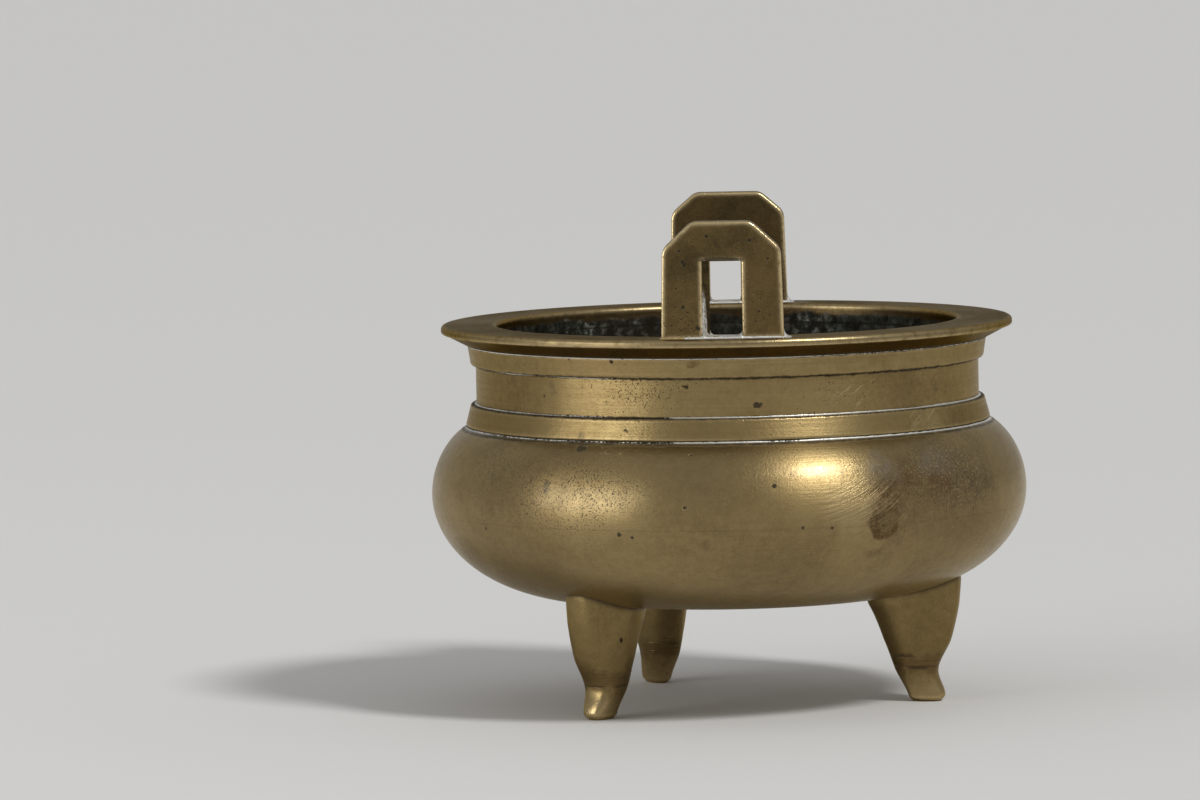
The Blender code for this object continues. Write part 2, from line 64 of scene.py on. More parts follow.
# Sizes of the pieces that their boxes don't show
CLEARANCE = 0.0003
BELLY_LOWER_HEIGHT = 0.0276
BELLY_UPPER_HEIGHT = 0.0177
UNDERSIDE_SWELL = 0.0381
SHOULDER_FULLNESS = 0.863
INNER_SHOULDER_FULLNESS = 0.95
SHOULDER_THICKNESS = 0.0014
BELLY_WALL = 0.0040
FLOOR_THICKNESS = 0.0036
NECK_WALL = 0.0046
COLLAR_WALL = 0.0020
MOUTH_STEP = 0.0010
SPIGOT_WALL = 0.0025
SPIGOT_DEPTH = 0.0030
LOWER_BAND_TAPER = 0.0012
LOWER_BAND_EDGE = 0.0007
UPPER_BAND_TAPER = 0.0006
UPPER_BAND_EDGE = 0.0006
RIM_EDGE = 0.0010
RIM_LIP_THICKNESS = 0.0022
RIM_LIP_UNDERCUT = 0.0006
RIM_ROOT_STEP = 0.0004
SHOULDER_STEP = 0.00045
HANDLE_INSET = 0.0080
TURNED_LINE = 0.0519

BELLY_MIDDLE = FLOOR_LEVEL + BELLY_LOWER_HEIGHT
SHOULDER_LEVEL = BELLY_MIDDLE + BELLY_UPPER_HEIGHT
RIM_UNDERSIDE = SPIGOT_FOOT + SPIGOT_DEPTH
FLOOR_RADIUS = BELLY_RADIUS - UNDERSIDE_SWELL
NECK_BORE = NECK_RADIUS - NECK_WALL
COLLAR_RADIUS = NECK_BORE + COLLAR_WALL
MOUTH_RADIUS = NECK_BORE - MOUTH_STEP
SPIGOT_RADIUS = MOUTH_RADIUS + SPIGOT_WALL
SHOULDER_RADIUS = LOWER_BAND_RADIUS + SHOULDER_STEP
HOOP_BORE = NECK_RADIUS + CLEARANCE
HANDLE_CIRCLE_RADIUS = RIM_RADIUS - HANDLE_INSET

# How finely the pieces are turned
TURN_STEPS = 288
BEAD_STEPS = 900
CURVE_STEPS = 26
ROUND_STEPS = 5
STEP_POINTS = 2
ON_AXIS = 1e-6
SHARP_CORNER = math.radians(38.0)
# Size of the unevenness under the crust and outside
CRUST_RIPPLE = 0.005
CAST_RIPPLE = 0.014
# Shortest length of a bend, and how far a point's own bend counts among its neighbours'
LEAST_BEND_LENGTH = 0.0001
OWN_WEAR = 0.6


# Outlines of the turned pieces, as (radius, height) points

def arc(centre, half_width, half_height, start, stop, steps):
    """Points on an ellipse, with the angles in degrees counted from the outward direction."""
    points = []
    for i in range(steps + 1):
        angle = math.radians(start + (stop - start) * i / steps)
        points.append((centre[0] + half_width * math.cos(angle), centre[1] + half_height * math.sin(angle)))
    return points


def straight(start, stop, steps):
    """Points along a straight stretch, without its first point."""
    points = []
    for i in range(1, steps + 1):
        share = i / steps
        points.append((start[0] + (stop[0] - start[0]) * share, start[1] + (stop[1] - start[1]) * share))
    return points


def quarter_turn(steps):
    """Angles from 0 to 90 degrees in equal steps."""
    return [math.radians(90.0 * i / steps) for i in range(steps + 1)]


def shoulder_inset(share, fullness):
    drop = 1.0 - math.sqrt(1.0 - fullness ** 2)
    return (1.0 - math.sqrt(1.0 - (fullness * share) ** 2)) / drop


def shoulder_curve(wide, narrow, bottom, top, fullness):
    """From the widest point up to the shoulder, upright at the bottom, listed from the top down."""
    points = []
    for i in range(CURVE_STEPS + 1):
        share = 1.0 - i / CURVE_STEPS
        radius = wide - (wide - narrow) * shoulder_inset(share, fullness)
        points.append((radius, bottom + (top - bottom) * share))
    return points


def belly_inside():
    floor_top = FLOOR_LEVEL + FLOOR_THICKNESS
    wide = BELLY_RADIUS - BELLY_WALL
    lower = arc((FLOOR_RADIUS, BELLY_MIDDLE), wide - FLOOR_RADIUS, BELLY_MIDDLE - floor_top,
                -90.0, 0.0, CURVE_STEPS)
    upper = shoulder_curve(wide, NECK_BORE, BELLY_MIDDLE, SHOULDER_LEVEL - SHOULDER_THICKNESS,
                           INNER_SHOULDER_FULLNESS)
    points = [(0.0, floor_top)]
    points += straight(points[0], lower[0], CURVE_STEPS)
    points += lower[1:]
    points += list(reversed(upper))[1:]
    points += straight(points[-1], (NECK_BORE, COLLAR_TOP), ROUND_STEPS)
    return points


def belly_outside():
    points = [(COLLAR_RADIUS, COLLAR_TOP), (COLLAR_RADIUS, SHOULDER_LEVEL)]
    points += straight(points[-1], (SHOULDER_RADIUS, SHOULDER_LEVEL), ROUND_STEPS)
    points += shoulder_curve(BELLY_RADIUS, SHOULDER_RADIUS, BELLY_MIDDLE, SHOULDER_LEVEL,
                             SHOULDER_FULLNESS)[1:]
    points += arc((FLOOR_RADIUS, BELLY_MIDDLE), UNDERSIDE_SWELL, BELLY_LOWER_HEIGHT,
                  0.0, -90.0, 2 * CURVE_STEPS)[1:]
    points += straight(points[-1], (0.0, FLOOR_LEVEL), CURVE_STEPS)
    return points


def neck_inside():
    upper_step = SPIGOT_FOOT - CLEARANCE
    lower_step = COLLAR_TOP + CLEARANCE
    points = [(COLLAR_RADIUS + CLEARANCE, lower_step)]
    points += straight(points[-1], (NECK_BORE, lower_step), STEP_POINTS)
    points += straight(points[-1], (NECK_BORE, upper_step), CURVE_STEPS)
    points += straight(points[-1], (SPIGOT_RADIUS + CLEARANCE, upper_step), STEP_POINTS)
    return points


def neck_outside():
    top = RIM_UNDERSIDE - CLEARANCE
    bottom = SHOULDER_LEVEL + CLEARANCE
    points = [(SPIGOT_RADIUS + CLEARANCE, top), (NECK_RADIUS, top)]
    points += straight(points[-1], (NECK_RADIUS, bottom), CURVE_STEPS)
    points.append((COLLAR_RADIUS + CLEARANCE, bottom))
    return points


def lower_band_outline():
    foot = SHOULDER_LEVEL + CLEARANCE
    edge = LOWER_BAND_EDGE
    top_radius = LOWER_BAND_RADIUS - LOWER_BAND_TAPER
    points = [(HOOP_BORE, LOWER_BAND_TOP)]
    points += arc((top_radius - edge, LOWER_BAND_TOP - edge), edge, edge, 90.0, 0.0, ROUND_STEPS)
    points += straight(points[-1], (LOWER_BAND_RADIUS, foot + edge), CURVE_STEPS // 2)
    points += arc((LOWER_BAND_RADIUS - edge, foot + edge), edge, edge, 0.0, -90.0, ROUND_STEPS)[1:]
    points.append((HOOP_BORE, foot))
    return points


def upper_band_outline():
    top = RIM_UNDERSIDE - CLEARANCE
    edge = UPPER_BAND_EDGE
    foot_radius = UPPER_BAND_RADIUS - UPPER_BAND_TAPER
    round_start = UPPER_BAND_BOTTOM + 2 * edge
    points = [(HOOP_BORE, top), (UPPER_BAND_RADIUS, top)]
    points += straight(points[-1], (foot_radius, round_start), CURVE_STEPS // 2)
    points += arc((foot_radius - edge, round_start), edge, 2 * edge, 0.0, -90.0, ROUND_STEPS)[1:]
    points.append((HOOP_BORE, UPPER_BAND_BOTTOM))
    return points


def rim_outline():
    edge = RIM_EDGE
    root = UPPER_BAND_RADIUS + RIM_ROOT_STEP
    lip_middle = (RIM_RADIUS - edge, RIM_TOP - RIM_LIP_THICKNESS + RIM_LIP_UNDERCUT)
    points = arc((MOUTH_RADIUS + edge, RIM_TOP - edge), edge, edge, 180.0, 90.0, ROUND_STEPS)
    points += straight(points[-1], (RIM_RADIUS - edge, RIM_TOP), CURVE_STEPS)
    points += arc((RIM_RADIUS - edge, RIM_TOP - edge), edge, edge, 90.0, 0.0, ROUND_STEPS)[1:]
    points += arc(lip_middle, edge, RIM_LIP_UNDERCUT, 0.0, -90.0, ROUND_STEPS)
    points += straight(points[-1], (root, RIM_UNDERSIDE), CURVE_STEPS // 2)
    points += [(SPIGOT_RADIUS, RIM_UNDERSIDE), (SPIGOT_RADIUS, SPIGOT_FOOT), (MOUTH_RADIUS, SPIGOT_FOOT)]
    points += straight(points[-1], (MOUTH_RADIUS, RIM_TOP - edge), CURVE_STEPS // 2)[:-1]
    return points


# Turning an outline into a mesh

def new_mesh(name, verts, faces):
    mesh = bpy.data.meshes.new(name)
    mesh.from_pydata(verts, [], faces)
    return mesh


def rings_joined(rings, size, closed=False):
    """Faces between rings of points that follow each other, all with the same number of points."""
    faces = []
    for r in range(rings if closed else rings - 1):
        low = r * size
        high = (r + 1) % rings * size
        for i in range(size):
            n = (i + 1) % size
            faces.append((low + i, low + n, high + n, high + i))
    return faces


def ripple(place, size, depth, seed):
    """A slow unevenness of the casting, the same at each run."""
    return depth * noise.noise(place / size + Vector((seed, 0.0, 0.0)))


def turned(name, outline, closed, steps=TURN_STEPS, unevenness=None):
    """A mesh turned from an outline. The unevenness moves a point outwards by the length it gives."""
    verts = []
    rings = []
    for index, (radius, height) in enumerate(outline):
        if radius < ON_AXIS:
            rings.append([len(verts)])
            verts.append((0.0, 0.0, height))
            continue
        ring = []
        for k in range(steps):
            out, side = math.cos(math.tau * k / steps), math.sin(math.tau * k / steps)
            reach = radius
            if unevenness:
                reach += unevenness(index, Vector((radius * out, radius * side, height)))
            ring.append(len(verts))
            verts.append((reach * out, reach * side, height))
        rings.append(ring)
    faces = []
    pairs = list(zip(rings, rings[1:]))
    if closed:
        pairs.append((rings[-1], rings[0]))
    for low, high in pairs:
        for k in range(steps):
            n = (k + 1) % steps
            corners = [low[k % len(low)], low[n % len(low)], high[n % len(high)], high[k % len(high)]]
            faces.append(list(dict.fromkeys(corners)))
    mesh = new_mesh(name, verts, faces)
    tidy(mesh)
    return mesh


def tidy(mesh):
    """Faces outwards, with smooth shading and sharp corners kept."""
    shape = bmesh.new()
    shape.from_mesh(mesh)
    bmesh.ops.recalc_face_normals(shape, faces=shape.faces)
    shape.to_mesh(mesh)
    shape.free()
    mesh.shade_smooth()
    mesh.set_sharp_from_angle(angle=SHARP_CORNER)


def mark_wear(mesh, dull=350.0, bright=1400.0):
    """Stores how exposed each point is, from 0 on open faces to 1 on edges that rubbing keeps bright.

    The two levels are bends in radians per metre.
    """
    shape = bmesh.new()
    shape.from_mesh(mesh)
    shape.verts.ensure_lookup_table()
    bend = np.zeros(len(shape.verts))
    for edge in shape.edges:
        if len(edge.link_faces) != 2:
            continue
        along = edge.verts[1].co - edge.verts[0].co
        apart = edge.link_faces[1].calc_center_median() - edge.link_faces[0].calc_center_median()
        if along.length > 0.0:
            apart -= along * (apart.dot(along) / along.length_squared)
        sharpness = edge.calc_face_angle_signed() / max(apart.length, LEAST_BEND_LENGTH)
        for vert in edge.verts:
            bend[vert.index] = max(bend[vert.index], sharpness)
    exposed = np.clip((bend - dull) / (bright - dull), 0.0, 1.0)
    spread = exposed.copy()
    for vert in shape.verts:
        around = [exposed[edge.other_vert(vert).index] for edge in vert.link_edges]
        spread[vert.index] = OWN_WEAR * exposed[vert.index] + (1.0 - OWN_WEAR) * max(around, default=0.0)
    shape.free()
    store(mesh, "wear", spread)


def store(mesh, name, values):
    layer = mesh.attributes.new(name, "FLOAT", "POINT")
    layer.data.foreach_set("value", np.asarray(values, np.float32))


def placed(name, data):
    """A new object in the scene."""
    thing = bpy.data.objects.new(name, data)
    bpy.context.scene.collection.objects.link(thing)
    return thing


def add_piece(name, mesh, finishes, slot, *nodes):
    """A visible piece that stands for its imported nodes."""
    piece = placed(name, mesh)
    for finish in finishes:
        mesh.materials.append(finish)
    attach(piece, "root")
    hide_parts(*nodes)
    return piece


# Shape of the legs
LEG_AZIMUTHS = {"front_left_leg": -40.7, "right_leg": 80.8, "back_left_leg": 203.8}
FOOT_INSET = 0.0263
FOOT_CIRCLE_RADIUS = BELLY_RADIUS - FOOT_INSET
LEG_SIDES = 56
LEG_RINGS = 64
LEG_BLUNTNESS = 0.70
LEG_TOP_EDGE = 0.006
LEG_RING_CROWDING = 1.35
LEG_GAP = 0.00004
LEG_LOWEST_TOP = 0.02
SOLE_ROUND = 0.0016
SEAM_DIRT_REACH = 0.0007
HALVINGS = 40
# Height, inner reach, outer reach and width of the leg's main sections, from the sole up
LEG_STATIONS = (
    (0.0, -0.0036, 0.0034, 0.0044),
    (SOLE_ROUND, -0.0050, 0.0047, 0.0070),
    (0.0082, -0.0083, 0.0029, 0.0101),
    (0.0160, -0.0112, 0.0064, 0.0126),
    (0.0255, -0.0152, 0.0087, 0.0138),
    (0.0421, -0.0222, 0.0099, 0.0140),
)


def smooth_between(before, start, stop, after, share):
    leave = (stop - before) / 2.0
    arrive = (after - start) / 2.0
    cube = share ** 3
    square = share ** 2
    return ((2 * cube - 3 * square + 1) * start + (cube - 2 * square + share) * leave
            + (3 * square - 2 * cube) * stop + (cube - square) * arrive)


def leg_section(height):
    """Inner reach, outer reach and width of the leg at a height."""
    last = len(LEG_STATIONS) - 1
    i = max(n for n in range(last) if LEG_STATIONS[n][0] <= height)
    start, stop = LEG_STATIONS[i], LEG_STATIONS[i + 1]
    before, after = LEG_STATIONS[max(i - 1, 0)], LEG_STATIONS[min(i + 2, last)]
    share = (height - start[0]) / (stop[0] - start[0])
    if i == 0:
        return [start[n] + (stop[n] - start[n]) * math.sin(share * math.pi / 2.0) for n in (1, 2, 3)]
    return [smooth_between(before[n], start[n], stop[n], after[n], share) for n in (1, 2, 3)]


def leg_point(height, side):
    """A point on the leg's skin at an angle round it, blunter on the outer half."""
    inner, outer, width = leg_section(height)
    out, across = math.cos(side), math.sin(side)
    if out > 0.0:
        out = out ** LEG_BLUNTNESS
        across = math.copysign(abs(across) ** LEG_BLUNTNESS, across)
    return Vector((FOOT_CIRCLE_RADIUS + (inner + outer) / 2.0 + (outer - inner) / 2.0 * out,
                   width / 2.0 * across, height))


def underside_level(radius):
    """Height of the belly's outside below its widest point."""
    across = min(max(radius - FLOOR_RADIUS, 0.0) / UNDERSIDE_SWELL, 1.0)
    return BELLY_MIDDLE - BELLY_LOWER_HEIGHT * math.sqrt(1.0 - across ** 2)


def halved(low, high, reached):
    """The last place between two ends for which a test holds."""
    for _ in range(HALVINGS):
        middle = (low + high) / 2.0
        if reached(middle):
            low = middle
        else:
            high = middle
    return low


def leg_top(side):
    """Height at which one side of the leg meets the belly."""
    def below_belly(height):
        point = leg_point(height, side)
        return height < underside_level(math.hypot(point.x, point.y)) - LEG_GAP

    return halved(LEG_LOWEST_TOP, LEG_STATIONS[-1][0], below_belly)


def turn_to(azimuth):
    """Turns what was made at +X to an azimuth counted from the near handle towards +X."""
    return Matrix.Rotation(math.radians(azimuth - 90.0), 4, "Z")


# Node building

def node(tree, kind, **settings):
    made = tree.nodes.new(kind)
    for key, value in settings.items():
        setattr(made, key, value)
    return made


def feed(tree, socket, value):
    """Links a socket's source, or sets a plain value."""
    if isinstance(value, bpy.types.NodeSocket):
        tree.links.new(value, socket)
    else:
        socket.default_value = value


def maths(tree, operation, first, second=0.0, clamp=False):
    made = node(tree, "ShaderNodeMath", operation=operation, use_clamp=clamp)
    feed(tree, made.inputs[0], first)
    feed(tree, made.inputs[1], second)
    return made.outputs[0]


def times(tree, first, second):
    return maths(tree, "MULTIPLY", first, second)


def plus(tree, first, second):
    return maths(tree, "ADD", first, second)


def minus(tree, first, second):
    return maths(tree, "SUBTRACT", first, second)


def either(tree, first, second):
    return maths(tree, "MAXIMUM", first, second)


def between(tree, value, low, high, out_low=0.0, out_high=1.0):
    """A smooth step from one level to another."""
    made = node(tree, "ShaderNodeMapRange", interpolation_type="SMOOTHSTEP")
    for name, setting in (("Value", value), ("From Min", low), ("From Max", high),
                          ("To Min", out_low), ("To Max", out_high)):
        feed(tree, made.inputs[name], setting)
    return made.outputs[0]


def blend(tree, share, first, second):
    """The first colour, mixed with a share of the second."""
    made = node(tree, "ShaderNodeMix", data_type="RGBA")
    feed(tree, made.inputs[0], share)
    for socket, colour in ((made.inputs[6], first), (made.inputs[7], second)):
        feed(tree, socket, colour if isinstance(colour, bpy.types.NodeSocket) else (*colour, 1.0))
    return made.outputs[2]


def place_of(tree):
    return node(tree, "ShaderNodeTexCoord").outputs["Object"]


def stored(tree, name):
    """A value that was stored with the mesh."""
    return node(tree, "ShaderNodeAttribute", attribute_name=name).outputs["Fac"]


def parts_of(tree, vector):
    made = node(tree, "ShaderNodeSeparateXYZ")
    feed(tree, made.inputs[0], vector)
    return made.outputs


def length_of(tree, vector):
    made = node(tree, "ShaderNodeVectorMath", operation="LENGTH")
    feed(tree, made.inputs[0], vector)
    return made.outputs["Value"]


def stretch(tree, vector, factors):
    made = node(tree, "ShaderNodeVectorMath", operation="MULTIPLY")
    feed(tree, made.inputs[0], vector)
    feed(tree, made.inputs[1], factors)
    return made.outputs[0]


def cloud(tree, vector, scale, detail=3.0, roughness=0.55, distortion=0.0):
    made = node(tree, "ShaderNodeTexNoise")
    for name, setting in (("Vector", vector), ("Scale", scale), ("Detail", detail),
                          ("Roughness", roughness), ("Distortion", distortion)):
        feed(tree, made.inputs[name], setting)
    return made.outputs[0]


def new_group(name, inputs, outputs):
    """A shader node group, with the start value of each input and the kind of each output by name."""
    group = bpy.data.node_groups.new(name, "ShaderNodeTree")
    for title, start in inputs.items():
        kind = "NodeSocketVector" if isinstance(start, tuple) else "NodeSocketFloat"
        group.interface.new_socket(name=title, in_out="INPUT", socket_type=kind).default_value = start
    for title, kind in outputs.items():
        group.interface.new_socket(name=title, in_out="OUTPUT", socket_type=kind)
    source = group.nodes.new("NodeGroupInput")
    target = group.nodes.new("NodeGroupOutput")
    return group, source.outputs, target.inputs


def use(tree, group, **values):
    """Places a group in a tree. The keywords are its inputs' names with spaces as underscores."""
    made = node(tree, "ShaderNodeGroup", node_tree=group)
    for name, value in values.items():
        feed(tree, made.inputs[name.replace("_", " ")], value)
    return made.outputs


VALUE = "NodeSocketFloat"
COLOUR = "NodeSocketColor"


# Effects that several finishes share

def turning_lines_group():
    """Fine lines left round the bowl by turning and polishing."""
    group, given, out = new_group("turning lines", {"Lines per Metre": 2600.0}, {"Lines": VALUE})
    parts = parts_of(group, place_of(group))
    square = plus(group, times(group, parts[0], parts[0]), times(group, parts[1], parts[1]))
    radius = maths(group, "SQRT", square)
    lay = node(group, "ShaderNodeCombineXYZ")
    drift = 26.0
    for axis, per_metre in enumerate((drift, drift, given[0])):
        feed(group, lay.inputs[axis], times(group, parts[axis], per_metre))
    made = node(group, "ShaderNodeTexNoise", noise_dimensions="4D")
    feed(group, made.inputs["Vector"], lay.outputs[0])
    feed(group, made.inputs["W"], times(group, radius, given[0]))
    for name, setting in (("Scale", 1.0), ("Detail", 4.0), ("Roughness", 0.7)):
        made.inputs[name].default_value = setting
    feed(group, out[0], made.outputs[0])
    return group


def pits_group():
    """Ragged pits of many sizes, most of them small, crowded in patches."""
    group, given, out = new_group("casting pits", {"Pits per Metre": 600.0, "Amount": 0.3}, {"Pits": VALUE})
    place = place_of(group)
    cells = node(group, "ShaderNodeTexVoronoi")
    feed(group, cells.inputs["Vector"], place)
    feed(group, cells.inputs["Scale"], given["Pits per Metre"])
    chance = node(group, "ShaderNodeSeparateColor")
    feed(group, chance.inputs[0], cells.outputs["Color"])
    patch = between(group, cloud(group, place, 60.0, 2.0), 0.40, 0.66)
    wanted = times(group, given["Amount"], plus(group, patch, 0.10))
    chosen = maths(group, "LESS_THAN", chance.outputs[0], wanted)
    size = plus(group, times(group, maths(group, "POWER", chance.outputs[1], 3.0), 0.30), 0.09)
    frayed = times(group, minus(group, cloud(group, place, 2600.0, 2.0), 0.5), 0.55)
    reach = plus(group, cells.outputs["Distance"], frayed)
    hollow = between(group, reach, size, times(group, size, 0.25))
    weight = plus(group, times(group, chance.outputs[2], 0.6), 0.4)
    feed(group, out[0], times(group, times(group, hollow, chosen), weight))
    return group


def specks_group():
    """Fine dark specks with no regular shape."""
    group, given, out = new_group("dark specks", {"Specks per Metre": 1900.0, "Amount": 0.3},
                                  {"Specks": VALUE})
    place = place_of(group)
    patch = between(group, cloud(group, place, 45.0, 3.0), 0.35, 0.65, 0.75, 1.05)
    level = minus(group, 0.77, times(group, times(group, given["Amount"], patch), 0.21))
    grain = cloud(group, place, given["Specks per Metre"], 2.0, 0.6)
    feed(group, out[0], between(group, grain, level, plus(group, level, 0.05)))
    return group


def tarnish_group():
    """Brown film in soft blotches with finer mottling."""
    group, given, out = new_group("tarnish", {"Blotches per Metre": 28.0, "Amount": 0.5},
                                  {"Film": VALUE, "Mottle": VALUE, "Grain": VALUE})
    place = place_of(group)
    broad = between(group, cloud(group, place, given["Blotches per Metre"], 4.0, 0.6, 0.6), 0.36, 0.68)
    mottle = between(group, cloud(group, place, 420.0, 5.0, 0.65), 0.32, 0.70)
    grain = between(group, cloud(group, place, 1600.0, 3.0, 0.7), 0.34, 0.66)
    film = plus(group, times(group, broad, 0.50), times(group, mottle, 0.28))
    film = plus(group, film, times(group, grain, 0.22))
    feed(group, out["Film"], times(group, film, given["Amount"]))
    feed(group, out["Mottle"], mottle)
    feed(group, out["Grain"], grain)
    return group


def worn_and_highlit_edges_group():
    """Edges that handling keeps bright, broken up a little; on the handles raised past full as painted
    highlight.
    """
    group, given, out = new_group("worn and highlit edges", {"Strength": 1.0}, {"Bright": VALUE})
    breaks = between(group, cloud(group, place_of(group), 500.0, 3.0), 0.25, 0.55, 0.35, 1.0)
    feed(group, out[0], times(group, times(group, stored(group, "wear"), breaks), given["Strength"]))
    return group


def seam_grime_group():
    """Dark grime along a level joint, ragged at its border."""
    group, given, out = new_group("seam grime", {"Level": 0.07, "Reach": 0.0012, "Ragged": 0.0016},
                                  {"Grime": VALUE})
    place = place_of(group)
    away = maths(group, "ABSOLUTE", minus(group, parts_of(group, place)[2], given["Level"]))
    rough = minus(group, cloud(group, place, 380.0, 5.0, 0.7), 0.52)
    edge = plus(group, away, times(group, times(group, rough, given["Ragged"]), 3.0))
    feed(group, out[0], between(group, edge, given["Reach"], 0.0))
    return group


def mark_group():
    """One stain or spot with a ragged border."""
    inputs = {"Middle": (0.0, 0.0, 0.0), "Shape": (1.0, 1.0, 1.0), "Size": 0.002, "Ragged": 0.4,
              "Softness": 0.3}
    group, given, out = new_group("placed mark", inputs, {"Mark": VALUE})
    place = place_of(group)
    offset = node(group, "ShaderNodeVectorMath", operation="SUBTRACT")
    feed(group, offset.inputs[0], place)
    feed(group, offset.inputs[1], given["Middle"])
    length = length_of(group, stretch(group, offset.outputs[0], given["Shape"]))
    wander = cloud(group, place, maths(group, "DIVIDE", 1.3, given["Size"]), 5.0, 0.68)
    rough = minus(group, wander, 0.5)
    share = maths(group, "DIVIDE", length, given["Size"])
    share = plus(group, share, times(group, times(group, rough, given["Ragged"]), 3.4))
    feed(group, out[0], between(group, share, plus(group, given["Softness"], 1.0),
                                minus(group, 1.0, given["Softness"])))
    return group


def breakup_group():
    """Small gaps that keep a stain from covering the metal evenly."""
    group, given, out = new_group("stain gaps", {"Gaps per Metre": 380.0, "Least": 0.35}, {"Cover": VALUE})
    place = place_of(group)
    wander = cloud(group, place, given["Gaps per Metre"], 6.0, 0.7)
    fine = between(group, cloud(group, place, 1400.0, 3.0, 0.6), 0.38, 0.60, 0.45, 1.0)
    feed(group, out[0], times(group, between(group, wander, 0.34, 0.62, given["Least"], 1.0), fine))
    return group


def slanting_scratches_group():
    """Thin scratches that slant up to the right on the front of the bowl."""
    group, given, out = new_group("slanting scratches", {"Scratches per Metre": 1600.0},
                                  {"Scratches": VALUE})
    lay = node(group, "ShaderNodeCombineXYZ")
    across_scratch = (-0.44, -0.36, 0.82)
    along_scratch = (0.63, 0.52, 0.57)
    for axis, (direction, drawn_out) in enumerate(((across_scratch, 1.0), (along_scratch, 0.07))):
        along = node(group, "ShaderNodeVectorMath", operation="DOT_PRODUCT")
        feed(group, along.inputs[0], place_of(group))
        along.inputs[1].default_value = direction
        steps = times(group, along.outputs["Value"], given[0])
        feed(group, lay.inputs[axis], times(group, steps, drawn_out))
    feed(group, out[0], between(group, cloud(group, lay.outputs[0], 1.0, 2.0, 0.6), 0.57, 0.66))
    return group


def crust_group():
    """Grey-green and black crust of old ash."""
    group, given, out = new_group("ash crust", {"Grains per Metre": 330.0, "Pale": 0.0},
                                  {"Color": COLOUR, "Height": VALUE})
    place = place_of(group)
    grains = cloud(group, place, given["Grains per Metre"], 7.0, 0.68)
    patches = cloud(group, place, 75.0, 4.0, 0.6, 0.5)
    colour = blend(group, between(group, grains, 0.34, 0.64), CRUST_BLACK, CRUST_GREEN)
    # Where the Pale input is placed, flecks grow and the black patches clear; there it is partly painted
    # light
    flecked = either(group, between(group, patches, 0.42, 0.60, 0.0, 0.18), given["Pale"])
    colour = blend(group, times(group, between(group, grains, 0.50, 0.63), flecked), colour, CRUST_PALE_AND_LIT)
    sooty = cloud(group, place, 28.0, 4.0, 0.62, 0.4)
    colour = blend(group, times(group, between(group, sooty, 0.44, 0.58), 0.7), colour, CRUST_BROWN)
    sooted = maths(group, "SUBTRACT", 0.7, given["Pale"], True)
    sunk = times(group, between(group, patches, 0.54, 0.36), sooted)
    colour = blend(group, sunk, colour, CRUST_BLACK)
    feed(group, out["Color"], colour)
    feed(group, out["Height"], grains)
    return group


# Colours
BRASS = (0.36, 0.265, 0.118)
BRASS_DEEP = (0.19, 0.130, 0.052)
BRASS_BRIGHT = (0.68, 0.53, 0.29)
BRASS_TINT = (0.86, 0.77, 0.60)
RIM_TINT = (0.50, 0.42, 0.29)
RIM_BRASS = (0.215, 0.156, 0.068)
RIM_BROWN = (0.090, 0.063, 0.029)
LEG_BRASS = (0.30, 0.22, 0.096)
HANDLE_BROWN = (0.060, 0.043, 0.020)
STAIN_FILM = (0.135, 0.083, 0.036)
STAIN_BROWN = (0.068, 0.039, 0.017)
STAIN_GREY = (0.098, 0.080, 0.050)
RING_BROWN = (0.095, 0.049, 0.012)
HAZE = (0.33, 0.29, 0.225)
STAIN_RUST = (0.16, 0.080, 0.026)
# Near-black of grime, and of the painted shade in the handle slots and ankle creases
GRIME_AND_SHADE = (0.018, 0.015, 0.010)
CRUST_BLACK = (0.011, 0.011, 0.009)
CRUST_GREEN = (0.080, 0.085, 0.068)
CRUST_PALE_AND_LIT = (0.37, 0.37, 0.31)
CRUST_BROWN = (0.034, 0.026, 0.017)
SOLDER_PALE = (0.66, 0.65, 0.61)
SOLDER_DARK = (0.34, 0.33, 0.29)
SOLDER_DULL_AND_SHADE = (0.040, 0.032, 0.020)

TURNING_LINES = turning_lines_group()
PITS = pits_group()
SPECKS = specks_group()
TARNISH = tarnish_group()
WORN_AND_HIGHLIT_EDGES = worn_and_highlit_edges_group()
SEAM_GRIME = seam_grime_group()
MARK = mark_group()
BREAKUP = breakup_group()
SLANTING_SCRATCHES = slanting_scratches_group()
CRUST = crust_group()


def on_bowl(azimuth, height, radius):
    """A point at an angle in degrees from the near handle towards +X."""
    turn = math.radians(azimuth)
    return (radius * math.sin(turn), -radius * math.cos(turn), height)


def new_finish(name):
    finish = bpy.data.materials.new(name)
    finish.use_nodes = True
    return finish, finish.node_tree, finish.node_tree.nodes["Principled BSDF"]


def marked(tree, spots, softness=0.3):
    """The strongest of several placed marks, each given as (middle, shape, size, ragged)."""
    total = None
    for middle, shape, size, ragged in spots:
        spot = use(tree, MARK, Middle=middle, Shape=shape, Size=size, Ragged=ragged, Softness=softness)[0]
        total = spot if total is None else either(tree, total, spot)
    return total


# How far each effect roughens, lifts or shades the brass
CLEAN_ROUGHNESS = 0.27
FILM_ROUGHNESS = 0.14
LINE_ROUGHNESS = 0.05
GRIME_AND_SHADE_ROUGHNESS = 0.35
WORN_SMOOTHNESS = 0.06
LINE_RELIEF = 0.12
MOTTLE_RELIEF = 0.12
GRAIN_RELIEF = 0.15
GRIME_AND_SHADE_RELIEF = 0.90
LINE_SHADE = 0.20
LINE_PATCH_GAIN = 1.2
SPECK_SHADE = 0.75
GRIME_AND_SHADE_DEPTH = 0.90
GRIME_AND_SHADE_DULLNESS = 0.80
SCRATCH_SHINE = 0.42


